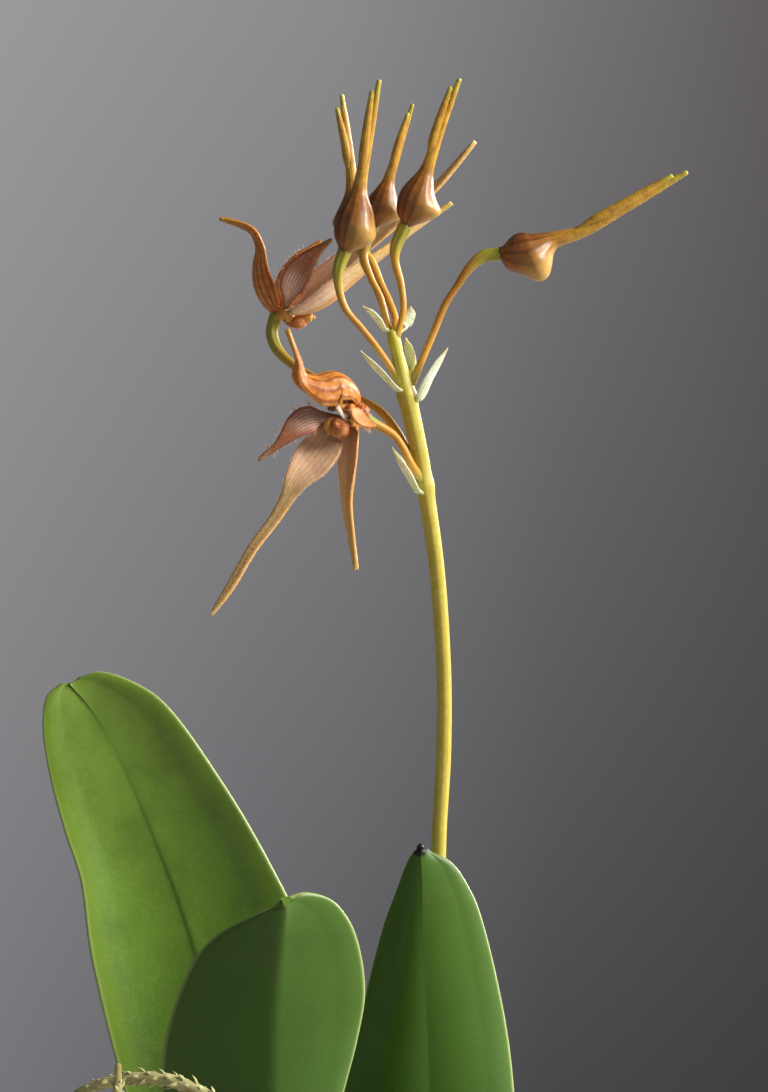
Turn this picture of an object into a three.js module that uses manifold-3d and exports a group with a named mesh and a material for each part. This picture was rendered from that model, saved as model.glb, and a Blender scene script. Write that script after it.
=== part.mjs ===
// A small potted orchid, Bulbophyllum taiwanense, with three leaves and one umbel of buds and flowers.
// Millimetres, +Z up. The origin is the centre of the pot's foot, and the flowers are seen from -Y.
import * as THREE from "three";
import { mergeVertices } from "three/addons/utils/BufferGeometryUtils.js";
import Module from "manifold-3d";

const wasm = await Module();
wasm.setup();

// Driving dimensions of the pot and its filling
const POT_HEIGHT = 50;
const RIM_RADIUS = 31;
const RIM_BAND = 11; // height of the thicker band round the mouth
const RIM_STEP = 1.9; // how far the band stands out from the body
const RIM_LEAN = 1.2; // how much wider the band is at its top than at its foot
const FOOT_RADIUS = 22;
const WALL = 3.2;
const FLOOR = 4;
const FLOOR_CORNER = 1.5; // slope between the floor and the wall inside
const EDGE = 0.8; // worn corners of the rim and foot
const DRAIN_RADIUS = 4.5;
const POT_SIDES = 40;
const CLEARANCE = 0.3; // gap between the filling and what it touches
const MOSS_LEVEL = 53; // top of the moss at the middle of the pot
const MOSS_EDGE = 46.5; // top of the moss at the wall
const HEAP_AT = [-8, -20]; // where the moss is heaped up round its loose strands
const HEAP_RISE = 7;
const HEAP_SPREAD = 40; // square millimetres
const MOSS_RINGS = 8;
// Waves of the moss surface: their height, the waves along x and y in radians a millimetre, a phase
const HUMMOCKS = [
  [0.3, 0.52, 0.45, 1.3],
  [0.26, 0.5, -0.48, 0.2],
  [0.2, 1.05, 0.15, 2],
  [0.15, -0.3, 1.1, 0.7],
];

// Driving dimensions of the plant, whose heights are measured from the moss level
const RHIZOME_RADIUS = 1.05;
const RHIZOME_JOINTS = 12;
const JOINT_SWELL = 0.07; // share by which the rhizome is thicker at its joints
const ROOT_RADIUS = 0.55;
const ROOT_REACH = [3.4, 5.6]; // how far a root runs out before it goes down
const ROOT_DRIFT = 1.4;
const BULB_FOOT = 1.4; // height of a pseudobulb's foot, on top of the rhizome
const BULB_HEIGHT = 8.9;
const BULB_RADIUS = 3.7;
const BULB_RIBS = 7;
const RIB_RISE = 0.045; // share of the radius
const LEAF_KEEL = 1.2; // thickness of a leaf at its midrib
const LEAF_MARGIN = 0.6; // thickness of a leaf at its edge
const KEEL_REACH = 0.67; // share of the half width over which the keel thins out
const LEAF_FOOT = 0.17; // share of the length that stays thick at the base
const PETAL_THICKNESS = 0.6;
const STALK_RADIUS = 0.5;
const PEDICEL_RADIUS = 0.24;
const BUD_RADIUS = 1.22;

const TAU = 2 * Math.PI;

// Small helpers

const vec = ([x, y, z]) => new THREE.Vector3(x, y, z);

const curve = (points) => new THREE.CatmullRomCurve3(points.map(vec), false, "centripetal");

// The value at t of a smooth line through evenly spaced values.
function along(values, t) {
  const last = values.length - 1;
  const at = Math.min(t, 0.99999) * last;
  const i = Math.floor(at);
  const f = at - i;
  const v = (k) => values[THREE.MathUtils.clamp(k, 0, last)];
  const slopeA = (v(i + 1) - v(i - 1)) / 2;
  const slopeB = (v(i + 2) - v(i)) / 2;
  const f2 = f * f;
  const f3 = f2 * f;
  return (
    (2 * f3 - 3 * f2 + 1) * v(i) +
    (f3 - 2 * f2 + f) * slopeA +
    (3 * f2 - 2 * f3) * v(i + 1) +
    (f3 - f2) * slopeB
  );
}

// Repeatable numbers between 0 and 1 for the places of roots.
function seeded(seed) {
  let state = seed;
  return () => {
    state = (state * 16807) % 2147483647;
    return state / 2147483647;
  };
}

function closed(points, triangles) {
  const geometry = new THREE.BufferGeometry();
  geometry.setFromPoints(points);
  geometry.setIndex(triangles);
  geometry.computeVertexNormals();
  return geometry;
}

// A closed solid through rings of points that run anticlockwise seen from the last ring.
function loft(rings) {
  const sides = rings[0].length;
  const points = rings.flat();
  const triangles = [];
  for (let i = 0; i < rings.length - 1; i += 1) {
    for (let k = 0; k < sides; k += 1) {
      const a = i * sides + k;
      const b = i * sides + ((k + 1) % sides);
      triangles.push(a, b, b + sides, a, b + sides, a + sides);
    }
  }
  const middleOf = (ring) => {
    const middle = new THREE.Vector3();
    ring.forEach((p) => middle.addScaledVector(p, 1 / sides));
    return middle;
  };
  const start = points.length;
  points.push(middleOf(rings[0]), middleOf(rings.at(-1)));
  const top = (rings.length - 1) * sides;
  for (let k = 0; k < sides; k += 1) {
    const next = (k + 1) % sides;
    triangles.push(start, next, k, start + 1, top + k, top + next);
  }
  return closed(points, triangles);
}

// A round body along a path. Its radius follows radii, and swell(t, angle) shapes each ring,
// with angle 0 towards the direction named facing. Both ends stand out past the path by beyond.
function tube({ path, radii, sides, rings, facing = [0.3, -1, 0.2], swell = () => 1, beyond = 0 }) {
  const line = curve(path);
  const normal = vec(facing);
  const hoops = [];
  for (let i = 0; i <= rings; i += 1) {
    const t = i / rings;
    const centre = line.getPoint(t);
    const ahead = line.getTangent(t);
    normal.addScaledVector(ahead, -normal.dot(ahead)).normalize();
    const side = ahead.clone().cross(normal);
    if (i === 0) centre.addScaledVector(ahead, -beyond);
    if (i === rings) centre.addScaledVector(ahead, beyond);
    const hoop = [];
    for (let k = 0; k < sides; k += 1) {
      const angle = (TAU * k) / sides;
      const r = along(radii, t) * swell(t, angle);
      const p = centre.clone();
      p.addScaledVector(normal, r * Math.cos(angle));
      p.addScaledVector(side, r * Math.sin(angle));
      hoop.push(p);
    }
    hoops.push(hoop);
  }
  return loft(hoops);
}

const TIP_CROWDING = 0.55; // how much closer together a sheet's rows are at its tip

// A sheet with thickness over surface(t, u), t from 0 to 1 and u from -1 to 1.
// Both faces are split along the same diagonals.
function slab(surface, thickness, rows, columns) {
  const step = 0.01;
  const front = [];
  const back = [];
  for (let i = 0; i <= rows; i += 1) {
    for (let j = 0; j <= columns; j += 1) {
      const share = i / rows;
      const t = share * (1 + TIP_CROWDING * (1 - share));
      const u = (2 * j) / columns - 1;
      const ahead = surface(Math.min(t + step, 1), u).sub(surface(Math.max(t - step, 0), u));
      const aside = surface(t, Math.min(u + step, 1)).sub(surface(t, Math.max(u - step, -1)));
      const normal = aside.cross(ahead).normalize();
      const half = thickness(t, u) / 2;
      front.push(surface(t, u).addScaledVector(normal, half));
      back.push(surface(t, u).addScaledVector(normal, -half));
    }
  }
  const wide = columns + 1;
  const behind = front.length;
  const triangles = [];
  for (let i = 0; i < rows; i += 1) {
    for (let j = 0; j < columns; j += 1) {
      const a = i * wide + j;
      const b = a + 1;
      const c = b + wide;
      const d = a + wide;
      triangles.push(a, b, c, a, c, d);
      triangles.push(a + behind, c + behind, b + behind, a + behind, d + behind, c + behind);
    }
  }
  const rim = [];
  for (let j = 0; j < columns; j += 1) rim.push(j);
  for (let i = 0; i < rows; i += 1) rim.push(i * wide + columns);
  for (let j = columns; j > 0; j -= 1) rim.push(rows * wide + j);
  for (let i = rows; i > 0; i -= 1) rim.push(i * wide);
  rim.forEach((p, k) => {
    const q = rim[(k + 1) % rim.length];
    triangles.push(q, p, p + behind, q, p + behind, q + behind);
  });
  return closed([...front, ...back], triangles);
}

// A petal, sepal or bract: stations hold x, y, z, half width and bend in radians at the edge.
// Its inner face looks along face at the base and along faceTip at the tip.
function blade({ stations, face, faceTip = face, rows = 12, columns = 4 }) {
  const line = curve(stations.map((s) => s.slice(0, 3)));
  const widths = stations.map((s) => s[3]);
  const bends = stations.map((s) => s[4]);
  const surface = (t, u) => {
    const ahead = line.getTangent(t);
    const side = vec(face).lerp(vec(faceTip), t).cross(ahead).normalize();
    const inward = ahead.clone().cross(side);
    const bend = Math.max(along(bends, t), 0.02);
    const radius = along(widths, t) / bend;
    const point = line.getPoint(t);
    point.addScaledVector(side, radius * Math.sin(u * bend));
    return point.addScaledVector(inward, radius * (1 - Math.cos(u * bend)));
  };
  return slab(surface, () => PETAL_THICKNESS, rows, columns);
}

// A leaf between its two edges and its midrib, each half swelling a little between them.
function leafBlade({ left, rib, right, swelling, rows = 22, columns = 6 }) {
  const rails = [curve(left), curve(rib), curve(right)];
  const surface = (t, u) => {
    const middle = rails[1].getPointAt(t);
    const edge = rails[u < 0 ? 0 : 2].getPointAt(t);
    const across = Math.abs(u);
    const lift = swelling * 4 * across * (1 - across) * Math.sin(Math.PI * Math.min(t, 0.98));
    const point = middle.lerp(edge, across);
    point.y += lift;
    return point;
  };
  const thickness = (t, u) => {
    const outward = Math.min(1, Math.abs(u) / KEEL_REACH);
    const thinning = outward * Math.min(1, t / LEAF_FOOT);
    return THREE.MathUtils.lerp(LEAF_KEEL, LEAF_MARGIN, thinning);
  };
  return slab(surface, thickness, rows, columns);
}

// Joining and cutting

function solid(geometry) {
  const bare = geometry.clone();
  bare.deleteAttribute("normal");
  bare.deleteAttribute("uv");
  const merged = mergeVertices(bare, 1e-4);
  return new wasm.Manifold(
    new wasm.Mesh({
      numProp: 3,
      vertProperties: new Float32Array(merged.attributes.position.array),
      triVerts: new Uint32Array(merged.index.array),
    }),
  );
}

function geometryOf(body) {
  const mesh = body.getMesh();
  const geometry = new THREE.BufferGeometry();
  geometry.setAttribute("position", new THREE.BufferAttribute(mesh.vertProperties, 3));
  geometry.setIndex(new THREE.BufferAttribute(mesh.triVerts, 1));
  return geometry;
}

const joined = (geometries) => geometries.map(solid).reduce((whole, piece) => whole.add(piece));

// Materials

const material = (color, roughness) =>
  new THREE.MeshStandardMaterial({ color, roughness, metalness: 0, flatShading: true });

const MATERIALS = {
  terracotta: material(0xb5683f, 0.85),
  moss: material(0x8d8a4a, 0.95),
  rhizome: material(0x6f6a35, 0.7),
  strand: material(0xb9bd86, 0.9),
  pseudobulb: material(0x6c8a2c, 0.5),
  leaf: material(0x55782a, 0.45),
  stalk: material(0xb5a53a, 0.5),
  bract: material(0xd6d9b4, 0.6),
  bud: material(0x9a5a22, 0.4),
  sepal: material(0xd6a273, 0.5),
  hood: material(0xc97a25, 0.5),
  petal: material(0xa85a35, 0.55),
  lip: material(0xd98a45, 0.4),
  column: material(0xd9a640, 0.45),
};

const plant = new THREE.Group();
plant.position.z = MOSS_LEVEL;
const whole = new THREE.Group();
whole.add(plant);

function place(group, name, geometry, look) {
  const mesh = new THREE.Mesh(geometry, MATERIALS[look]);
  mesh.name = name;
  group.add(mesh);
}

// The pot: a turned clay pot with a banded rim and a drain hole

function potGeometry() {
  const bandFoot = POT_HEIGHT - RIM_BAND;
  const bodyTop = RIM_RADIUS - RIM_LEAN - RIM_STEP;
  const mouth = RIM_RADIUS - WALL;
  const profile = [
    [DRAIN_RADIUS, 0],
    [FOOT_RADIUS - EDGE, 0],
    [FOOT_RADIUS, EDGE],
    [bodyTop, bandFoot],
    [bodyTop + RIM_STEP, bandFoot + EDGE],
    [RIM_RADIUS, POT_HEIGHT - EDGE],
    [RIM_RADIUS - EDGE, POT_HEIGHT],
    [mouth + EDGE / 2, POT_HEIGHT],
    [mouth, POT_HEIGHT - EDGE],
    [innerRadius(FLOOR + FLOOR_CORNER), FLOOR + FLOOR_CORNER],
    [innerRadius(FLOOR) - FLOOR_CORNER, FLOOR],
    [DRAIN_RADIUS, FLOOR],
    [DRAIN_RADIUS, 0],
  ];
  const points = profile.map(([r, z]) => new THREE.Vector2(r, z));
  const turned = new THREE.LatheGeometry(points, POT_SIDES);
  turned.rotateX(Math.PI / 2);
  return geometryOf(solid(turned));
}

// Radius of the pot's inner wall at a height.
function innerRadius(z) {
  const foot = FOOT_RADIUS - WALL;
  const mouth = RIM_RADIUS - WALL;
  return foot + ((mouth - foot) * (z - FLOOR)) / (POT_HEIGHT - EDGE - FLOOR);
}

// The moss: a low uneven mound that fills the pot

function mossTop(x, y) {
  const outward = Math.hypot(x, y) / innerRadius(MOSS_EDGE);
  const mound = MOSS_LEVEL - (MOSS_LEVEL - MOSS_EDGE) * outward ** 2.4;
  const fromHeap = (x - HEAP_AT[0]) ** 2 + (y - HEAP_AT[1]) ** 2;
  const heap = HEAP_RISE * Math.exp(-fromHeap / HEAP_SPREAD);
  const wave = ([height, alongX, alongY, phase]) => height * Math.sin(alongX * x + alongY * y + phase);
  const waves = HUMMOCKS.reduce((sum, hummock) => sum + wave(hummock), 0);
  return mound + heap + waves * Math.max(0, 1 - outward ** 4);
}

function mossGeometry(buried) {
  const hoop = (radius, height) => {
    const points = [];
    for (let k = 0; k < POT_SIDES; k += 1) {
      const angle = (TAU * k) / POT_SIDES;
      const x = radius * Math.cos(angle);
      const y = radius * Math.sin(angle);
      points.push(new THREE.Vector3(x, y, height ?? mossTop(x, y)));
    }
    return points;
  };
  const floor = FLOOR + CLEARANCE;
  const reach = innerRadius(MOSS_EDGE) - CLEARANCE;
  const rings = [
    hoop(innerRadius(FLOOR) - FLOOR_CORNER - 2 * CLEARANCE, floor),
    hoop(innerRadius(FLOOR + FLOOR_CORNER) - CLEARANCE, floor + FLOOR_CORNER),
    hoop(reach, MOSS_EDGE - 1),
    hoop(reach - CLEARANCE),
  ];
  for (let i = MOSS_RINGS - 1; i > 0; i -= 1) rings.push(hoop((reach * i) / MOSS_RINGS));
  return geometryOf(solid(loft(rings)).subtract(buried));
}

// Rhizome, with its roots fused to it

const RHIZOME_PATH = [
  [-7.0, -13.4, -0.5],
  [-6.7, -10.0, 0.1],
  [-7.5, -3.0, 0.2],
  [-5.8, 4.0, 0.2],
  [-0.4, 4.8, 0.2],
  [4.2, 3.0, 0.2],
  [5.3, -1.5, 0.2],
  [7.2, -5.4, 0.7],
];
const ROOT_PLACES = [0.04, 0.15, 0.26, 0.37, 0.48, 0.6, 0.7, 0.8, 0.93];

function rhizomeBodies(extra) {
  const pieces = [
    tube({
      path: RHIZOME_PATH,
      radii: [0.8, 1, 1, 1, 1, 1, 1, 0.62].map((k) => k * RHIZOME_RADIUS + extra),
      sides: 8,
      rings: 24,
      swell: (t) => 1 + JOINT_SWELL * Math.cos(TAU * RHIZOME_JOINTS * t),
      beyond: extra,
    }),
  ];
  const line = curve(RHIZOME_PATH);
  const random = seeded(7);
  ROOT_PLACES.forEach((t, i) => {
    const from = line.getPoint(t);
    const ahead = line.getTangent(t);
    const sign = i % 2 ? 1 : -1;
    const out = new THREE.Vector3(-ahead.y * sign, ahead.x * sign, 0).normalize();
    const far = THREE.MathUtils.lerp(ROOT_REACH[0], ROOT_REACH[1], random());
    const drift = ROOT_DRIFT * (random() - 0.5);
    const point = (share, rise) => {
      const p = from.clone().addScaledVector(out, far * share);
      p.addScaledVector(ahead, drift * share);
      return [p.x, p.y, rise];
    };
    pieces.push(
      tube({
        path: [point(0, 0.1), point(0.4, 0.5), point(0.8, -0.6), point(1, -4.2)],
        radii: [1, 1, 0.95, 0.8].map((k) => k * ROOT_RADIUS + extra),
        sides: 5,
        rings: 6,
        beyond: extra,
      }),
    );
  });
  return joined(pieces);
}

// Two loose strands of the moss that stand up in front of the left leaf

const MOSS_STRANDS = {
  moss_strand_arch: {
    path: [
      [-3.4, -19.0, -4.0],
      [-2.6, -19.8, 5],
      [-3.2, -20.6, 14],
      [-5.2, -20.9, 22],
      [-8.4, -20.8, 27.6],
      [-11.6, -20.4, 29.2],
      [-14.6, -19.8, 29.2],
      [-17.0, -19.0, 28.5],
      [-18.8, -18.2, 27.2],
    ],
    radii: [0.6, 0.62, 0.66, 0.7, 0.78, 0.8, 0.74, 0.6, 0.3],
    rings: 27,
  },
  moss_strand_upright: {
    path: [
      [-12.6, -15.8, -3.5],
      [-13.4, -17.6, 5],
      [-14.7, -20.6, 14],
      [-15.0, -21.9, 22],
      [-14.9, -22.3, 27],
      [-14.8, -22.3, 30.2],
    ],
    radii: [0.58, 0.6, 0.62, 0.66, 0.78, 0.4],
    rings: 20,
  },
};

function mossStrand({ path, radii, rings }, extra = 0) {
  const lumps = (t) => 1 + 0.06 * Math.sin(37 * t) + 0.04 * Math.sin(71 * t + 1);
  const thick = radii.map((r) => r + extra);
  return tube({ path, radii: thick, sides: 8, rings, swell: lumps, beyond: extra });
}

// Pseudobulbs: small ribbed bottles on the rhizome, one leaf on each

const BULBS = {
  right: { foot: [5.3, -1.5], lean: [0.0, 0.0] },
  left: { foot: [-5.8, 4.0], lean: [0.2, 0.1] },
  middle: { foot: [-6.7, -10.0], lean: [0.0, -0.3] },
};

function bulbGeometry({ foot, lean }) {
  const at = (share) => [
    foot[0] + lean[0] * share,
    foot[1] + lean[1] * share,
    BULB_FOOT + BULB_HEIGHT * share,
  ];
  return tube({
    path: [0, 0.17, 0.34, 0.5, 0.67, 0.84, 1].map(at),
    radii: [0.28, 0.72, 0.97, 1, 0.86, 0.56, 0.3].map((k) => k * BULB_RADIUS),
    sides: 3 * BULB_RIBS,
    rings: 8,
    swell: (t, angle) => 1 + RIB_RISE * Math.sin(Math.PI * t) * Math.cos(BULB_RIBS * angle),
  });
}

// Leaves: the left one shows its grooved upper face, the others their keeled back

const LEAVES = {
  right: {
    left: [
      [4.5, -1.5, 10.6],
      [2.4, -0.7, 12.8],
      [0.2, 0.2, 17],
      [-1.0, 0.7, 21.3],
      [-0.4, 0.7, 27.3],
      [0.7, 0.5, 32.1],
      [2.3, 0.0, 38.3],
      [3.1, -0.7, 40.5],
      [3.9, -1.6, 42.6],
      [4.4, -2.1, 43.4],
    ],
    rib: [
      [5.3, -1.5, 10.6],
      [5.4, -1.3, 17],
      [5.3, -1.0, 27.4],
      [4.8, -1.5, 38],
      [4.7, -2.2, 43.5],
    ],
    right: [
      [6.1, -1.5, 10.6],
      [8.5, -1.2, 12.8],
      [10.5, -0.6, 17],
      [11.1, -0.2, 21.3],
      [10.9, -0.1, 27.3],
      [10.3, -0.1, 32.1],
      [8.9, -0.5, 38.3],
      [8.1, -0.9, 40.5],
      [6.7, -1.6, 42.6],
      [5.1, -2.1, 43.4],
    ],
    swelling: -0.35,
  },
  left: {
    left: [
      [-6.4, 4.1, 10.6],
      [-8.6, 3.8, 13],
      [-11.6, 3.9, 18.6],
      [-14.1, 4.3, 23.7],
      [-17.4, 5.8, 35.7],
      [-18.2, 6.6, 41.1],
      [-19.3, 7.2, 44.4],
      [-20.4, 7.8, 48.5],
      [-20.8, 8.3, 51.7],
      [-20.5, 8.7, 53.5],
      [-19.6, 9.3, 54.3],
    ],
    rib: [
      [-5.6, 4.1, 10.6],
      [-6.7, 4.9, 19.6],
      [-8.2, 5.9, 26.8],
      [-10.4, 7.0, 35.9],
      [-13.0, 8.0, 43.2],
      [-16.9, 9.3, 51.6],
      [-19.0, 9.6, 54.2],
    ],
    right: [
      [-4.8, 4.1, 10.6],
      [-3.7, 3.6, 14],
      [-2.8, 3.6, 19.7],
      [-2.2, 4.2, 27],
      [-2.5, 4.9, 33.5],
      [-3.5, 5.4, 38.2],
      [-5.4, 6.0, 42.2],
      [-8.6, 7.2, 47.6],
      [-12.7, 8.4, 53.1],
      [-14.9, 8.9, 54.5],
      [-17.0, 9.3, 55.1],
      [-18.4, 9.5, 54.7],
    ],
    swelling: 0.4,
  },
  middle: {
    left: [
      [-7.5, -10.3, 10.6],
      [-9.4, -9.0, 16.1],
      [-11.1, -8.5, 21.3],
      [-12.1, -8.6, 25.9],
      [-12.3, -9.2, 29.2],
      [-11.7, -10.3, 32.7],
      [-9.8, -12.2, 37],
      [-8.2, -13.4, 38.5],
      [-6.1, -15.2, 39.6],
      [-4.9, -16.4, 40.2],
    ],
    rib: [
      [-6.7, -10.3, 10.6],
      [-6.0, -11.0, 18.8],
      [-5.0, -12.8, 28.1],
      [-4.9, -14.0, 33.2],
      [-4.4, -16.0, 39],
      [-4.3, -16.8, 40.4],
    ],
    right: [
      [-5.9, -10.3, 10.6],
      [-3.6, -9.7, 16.8],
      [-1.8, -10.0, 22],
      [-0.4, -10.8, 27.9],
      [0.5, -11.5, 31.4],
      [1.0, -12.3, 34.6],
      [0.5, -13.4, 38],
      [-0.3, -14.4, 39.7],
      [-1.3, -15.2, 40.7],
      [-3.0, -16.3, 41.1],
      [-3.7, -16.7, 40.8],
    ],
    swelling: -0.4,
  },
};

// The flower stalk: scape, short rachis and seven pedicels, grown as one

const SCAPE_PATH = [
  [4.6, 3.0, 1.55],
  [5.2, 3.5, 5],
  [5.7, 3.5, 11],
  [5.9, 3.0, 20],
  [5.93, 2.4, 32],
  [5.93, 1.8, 43.7],
  [6.23, 1.5, 49.5],
  [6.27, 1.2, 54.5],
  [6.05, 0.9, 59],
  [5.68, 0.6, 63],
  [5.15, 0.4, 66.6],
  [4.62, 0.2, 69.8],
  [3.85, 0, 73.4],
  [3.35, 0, 75.6],
  [2.85, 0, 77.7],
];
const SCAPE_RADII = [1.5, 1.25, 1.1, 1, 1, 1, 1, 1, 1, 1.04, 1.12, 1.16, 1.22, 0.9, 0.75];

const PEDICELS = [
  {
    path: [
      [3.6, 0, 74.1],
      [2.65, -0.2, 75.6],
      [1.7, -0.5, 76.95],
      [0.7, -0.8, 78.2],
      [-0.3, -1.0, 79.4],
      [-0.75, -1.1, 80.8],
      [-0.75, -1.2, 82.0],
      [-0.42, -1.2, 83.05],
    ],
    radii: [1.3, 1, 0.95, 0.95, 1, 1.15, 1.6, 1.9],
  },
  {
    path: [
      [2.85, 0, 77.4],
      [2.5, 0.5, 78.4],
      [2.0, 1.0, 80.2],
      [1.4, 1.5, 81.5],
      [0.9, 2.0, 82.9],
      [1.1, 2.4, 84.0],
      [1.5, 2.6, 84.85],
    ],
    radii: [1.3, 1, 1, 1, 1.3, 1.6, 1.6],
  },
  {
    path: [
      [2.95, 0, 77.2],
      [3.3, -0.1, 78.2],
      [3.55, -0.1, 79.4],
      [3.4, 0, 81.0],
      [3.0, 0, 82.6],
      [3.05, 0, 83.5],
      [3.6, 0, 84.8],
    ],
    radii: [1.3, 0.95, 0.9, 1, 1.2, 1.6, 2.0],
  },
  {
    path: [
      [2.95, 0.1, 77.3],
      [3.05, 0.9, 78.6],
      [2.6, 2.2, 80.0],
      [2.1, 3.2, 81.1],
      [1.4, 4.2, 82.7],
      [0.7, 4.8, 83.6],
      [0.5, 5.0, 84.05],
    ],
    radii: [1.3, 1, 1, 1, 1.3, 1.6, 1.7],
  },
  {
    path: [
      [3.9, 0, 74.0],
      [4.8, 0.1, 76.0],
      [5.6, 0.4, 77.9],
      [6.35, 0.6, 79.7],
      [7.15, 0.8, 80.95],
      [8.0, 0.9, 82.2],
      [8.95, 1.0, 82.95],
      [9.85, 1.0, 83.1],
    ],
    radii: [1.3, 1, 1, 1, 1, 1.4, 1.8, 1.9],
  },
  {
    path: [
      [4.8, 0.1, 67.9],
      [4.1, -0.45, 69.0],
      [3.55, -0.6, 70.1],
      [3.0, -0.7, 70.9],
      [2.2, -0.9, 71.45],
      [1.5, -1.1, 71.8],
      [0.95, -1.45, 72.2],
    ],
    radii: [1.4, 1.2, 1.1, 1.1, 1.3, 1.5, 1.5],
  },
  {
    path: [
      [4.75, 0.5, 68.1],
      [3.95, 0.5, 69.6],
      [3.4, 0.55, 70.8],
      [2.75, 0.7, 71.8],
      [1.9, 1.0, 72.7],
      [0.8, 1.5, 73.35],
      [-1.0, 2.8, 74.2],
      [-2.5, 4.4, 74.95],
      [-4.0, 6.2, 75.9],
      [-5.0, 7.4, 77.0],
      [-5.3, 7.9, 78.0],
      [-5.1, 8.0, 79.0],
    ],
    radii: [1.4, 1.3, 1.2, 1.15, 1.1, 1.1, 1.1, 1.15, 1.3, 1.6, 1.8, 1.8],
  },
];

function stalkGeometry() {
  const scape = tube({
    path: SCAPE_PATH,
    radii: SCAPE_RADII.map((k) => k * STALK_RADIUS),
    sides: 10,
    rings: 32,
  });
  const pedicels = PEDICELS.map(({ path, radii }) =>
    tube({
      path,
      radii: radii.map((k) => k * PEDICEL_RADIUS),
      sides: 6,
      rings: Math.round(1.6 * path.length),
    }),
  );
  return geometryOf(joined([scape, ...pedicels]));
}

// Bracts: small pale boats, one under each pedicel

const BRACTS = [
  { stations: [[3.15, -0.75, 73.95], [2.2, -0.85, 74.85], [1.4, -1.0, 75.7], [0.7, -1.2, 76.6]] },
  { stations: [[4.66, -0.45, 73.4], [5.2, -0.52, 74.45], [5.85, -0.5, 75.6], [6.5, -0.4, 76.8]] },
  { stations: [[3.97, 0.76, 74.9], [4.0, 0.84, 75.9], [3.85, 0.72, 76.8], [3.72, 0.62, 77.5]] },
  { stations: [[2.25, -0.2, 78.0], [1.8, -0.3, 78.6], [1.3, -0.3, 79.15], [0.85, -0.3, 79.6]] },
  { stations: [[3.7, 0.75, 78.1], [3.9, 0.9, 78.75], [4.0, 0.9, 79.2], [4.05, 0.9, 79.6]] },
  { stations: [[4.45, -0.7, 67.2], [3.85, -0.95, 68.2], [3.3, -1.05, 69.1], [2.95, -1.1, 69.9]] },
  { stations: [[4.35, 1.15, 67.6], [3.75, 1.3, 68.5], [3.2, 1.35, 69.4], [2.8, 1.35, 70.2]] },
];
const BRACT_WIDTHS = [0.28, 0.36, 0.32, 0.16];
const BRACT_BEND = 0.7;

function bractGeometry({ stations }) {
  return blade({
    stations: stations.map((s, i) => [...s, BRACT_WIDTHS[i], BRACT_BEND * (i < 3 ? 1 : 0.3)]),
    face: [0.2, 0.3, 1],
    rows: 7,
    columns: 2,
  });
}

// Closed buds: a round body with a chin, drawn out into the long joined sepal tails

const BUDS = {
  bud_front: {
    path: [
      [-0.37, -1.2, 83.2],
      [0.1, -1.2, 84.5],
      [0.42, -1.15, 85.7],
      [0.6, -1.1, 87.1],
      [0.85, -1.05, 88.6],
      [1.2, -1.0, 90.4],
      [1.93, -0.9, 94.5],
    ],
    second: [[0.75, -1.3, 88.2], [1.0, -1.25, 90.4], [1.45, -1.1, 93.75]],
    chin: [0.8, -0.4, -0.45],
    chinAt: 0.16,
    chinDepth: 0.4,
    size: 1,
  },
  bud_middle: {
    path: [
      [1.6, 2.6, 85.05],
      [1.95, 2.6, 85.9],
      [2.25, 2.65, 86.8],
      [2.53, 2.7, 87.9],
      [2.85, 2.75, 89.0],
      [3.3, 2.8, 90.4],
      [4.16, 3.0, 93.1],
    ],
    second: [[2.75, 2.5, 88.8], [3.15, 2.55, 90.3], [3.85, 2.75, 92.5]],
    chin: [0.85, -0.3, -0.3],
    chinAt: 0.2,
    chinDepth: 0.5,
    size: 0.8,
  },
  bud_tall: {
    path: [
      [3.73, 0, 85.0],
      [4.15, 0, 86.0],
      [4.55, 0, 87.1],
      [5.07, 0, 88.5],
      [5.5, 0, 89.8],
      [6.07, 0.1, 91.5],
      [7.27, 0.2, 94.65],
    ],
    second: [[5.2, -0.2, 89.5], [5.75, -0.15, 91.4], [6.68, 0, 94.1]],
    chin: [0.85, -0.1, -0.4],
    chinAt: 0.22,
    chinDepth: 0.62,
    size: 0.93,
  },
  bud_hidden: {
    path: [
      [0.45, 5.0, 84.34],
      [0.35, 5.0, 85.2],
      [0.26, 5.05, 86.2],
      [0.16, 5.1, 87.4],
      [0.05, 5.15, 88.8],
      [-0.15, 5.2, 90.7],
      [-0.56, 5.3, 93.85],
    ],
    second: [[-0.1, 4.95, 88.6], [-0.35, 5.0, 90.6], [-0.87, 5.1, 92.95]],
    chin: [-0.7, 0.6, -0.3],
    chinAt: 0.2,
    chinDepth: 0.5,
    size: 0.9,
  },
  bud_right: {
    path: [
      [10.08, 1.0, 83.15],
      [11.0, 1.0, 83.1],
      [12.1, 1.0, 83.3],
      [13.5, 1.0, 84.0],
      [15.5, 1.0, 84.6],
      [18.3, 1.0, 86.15],
      [22.4, 1.0, 88.5],
    ],
    second: [[15.0, 0.75, 84.7], [18.0, 0.75, 86.3], [21.4, 0.8, 88.25]],
    chin: [0.35, -0.15, -0.9],
    chinAt: 0.36,
    chinDepth: 0.75,
    size: 1.06,
  },
};
const BUD_RADII = [0.4, 0.98, 0.96, 0.42, 0.32, 0.27, 0.15];
const CHIN_LENGTH = 0.09; // share of the bud's length

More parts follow.
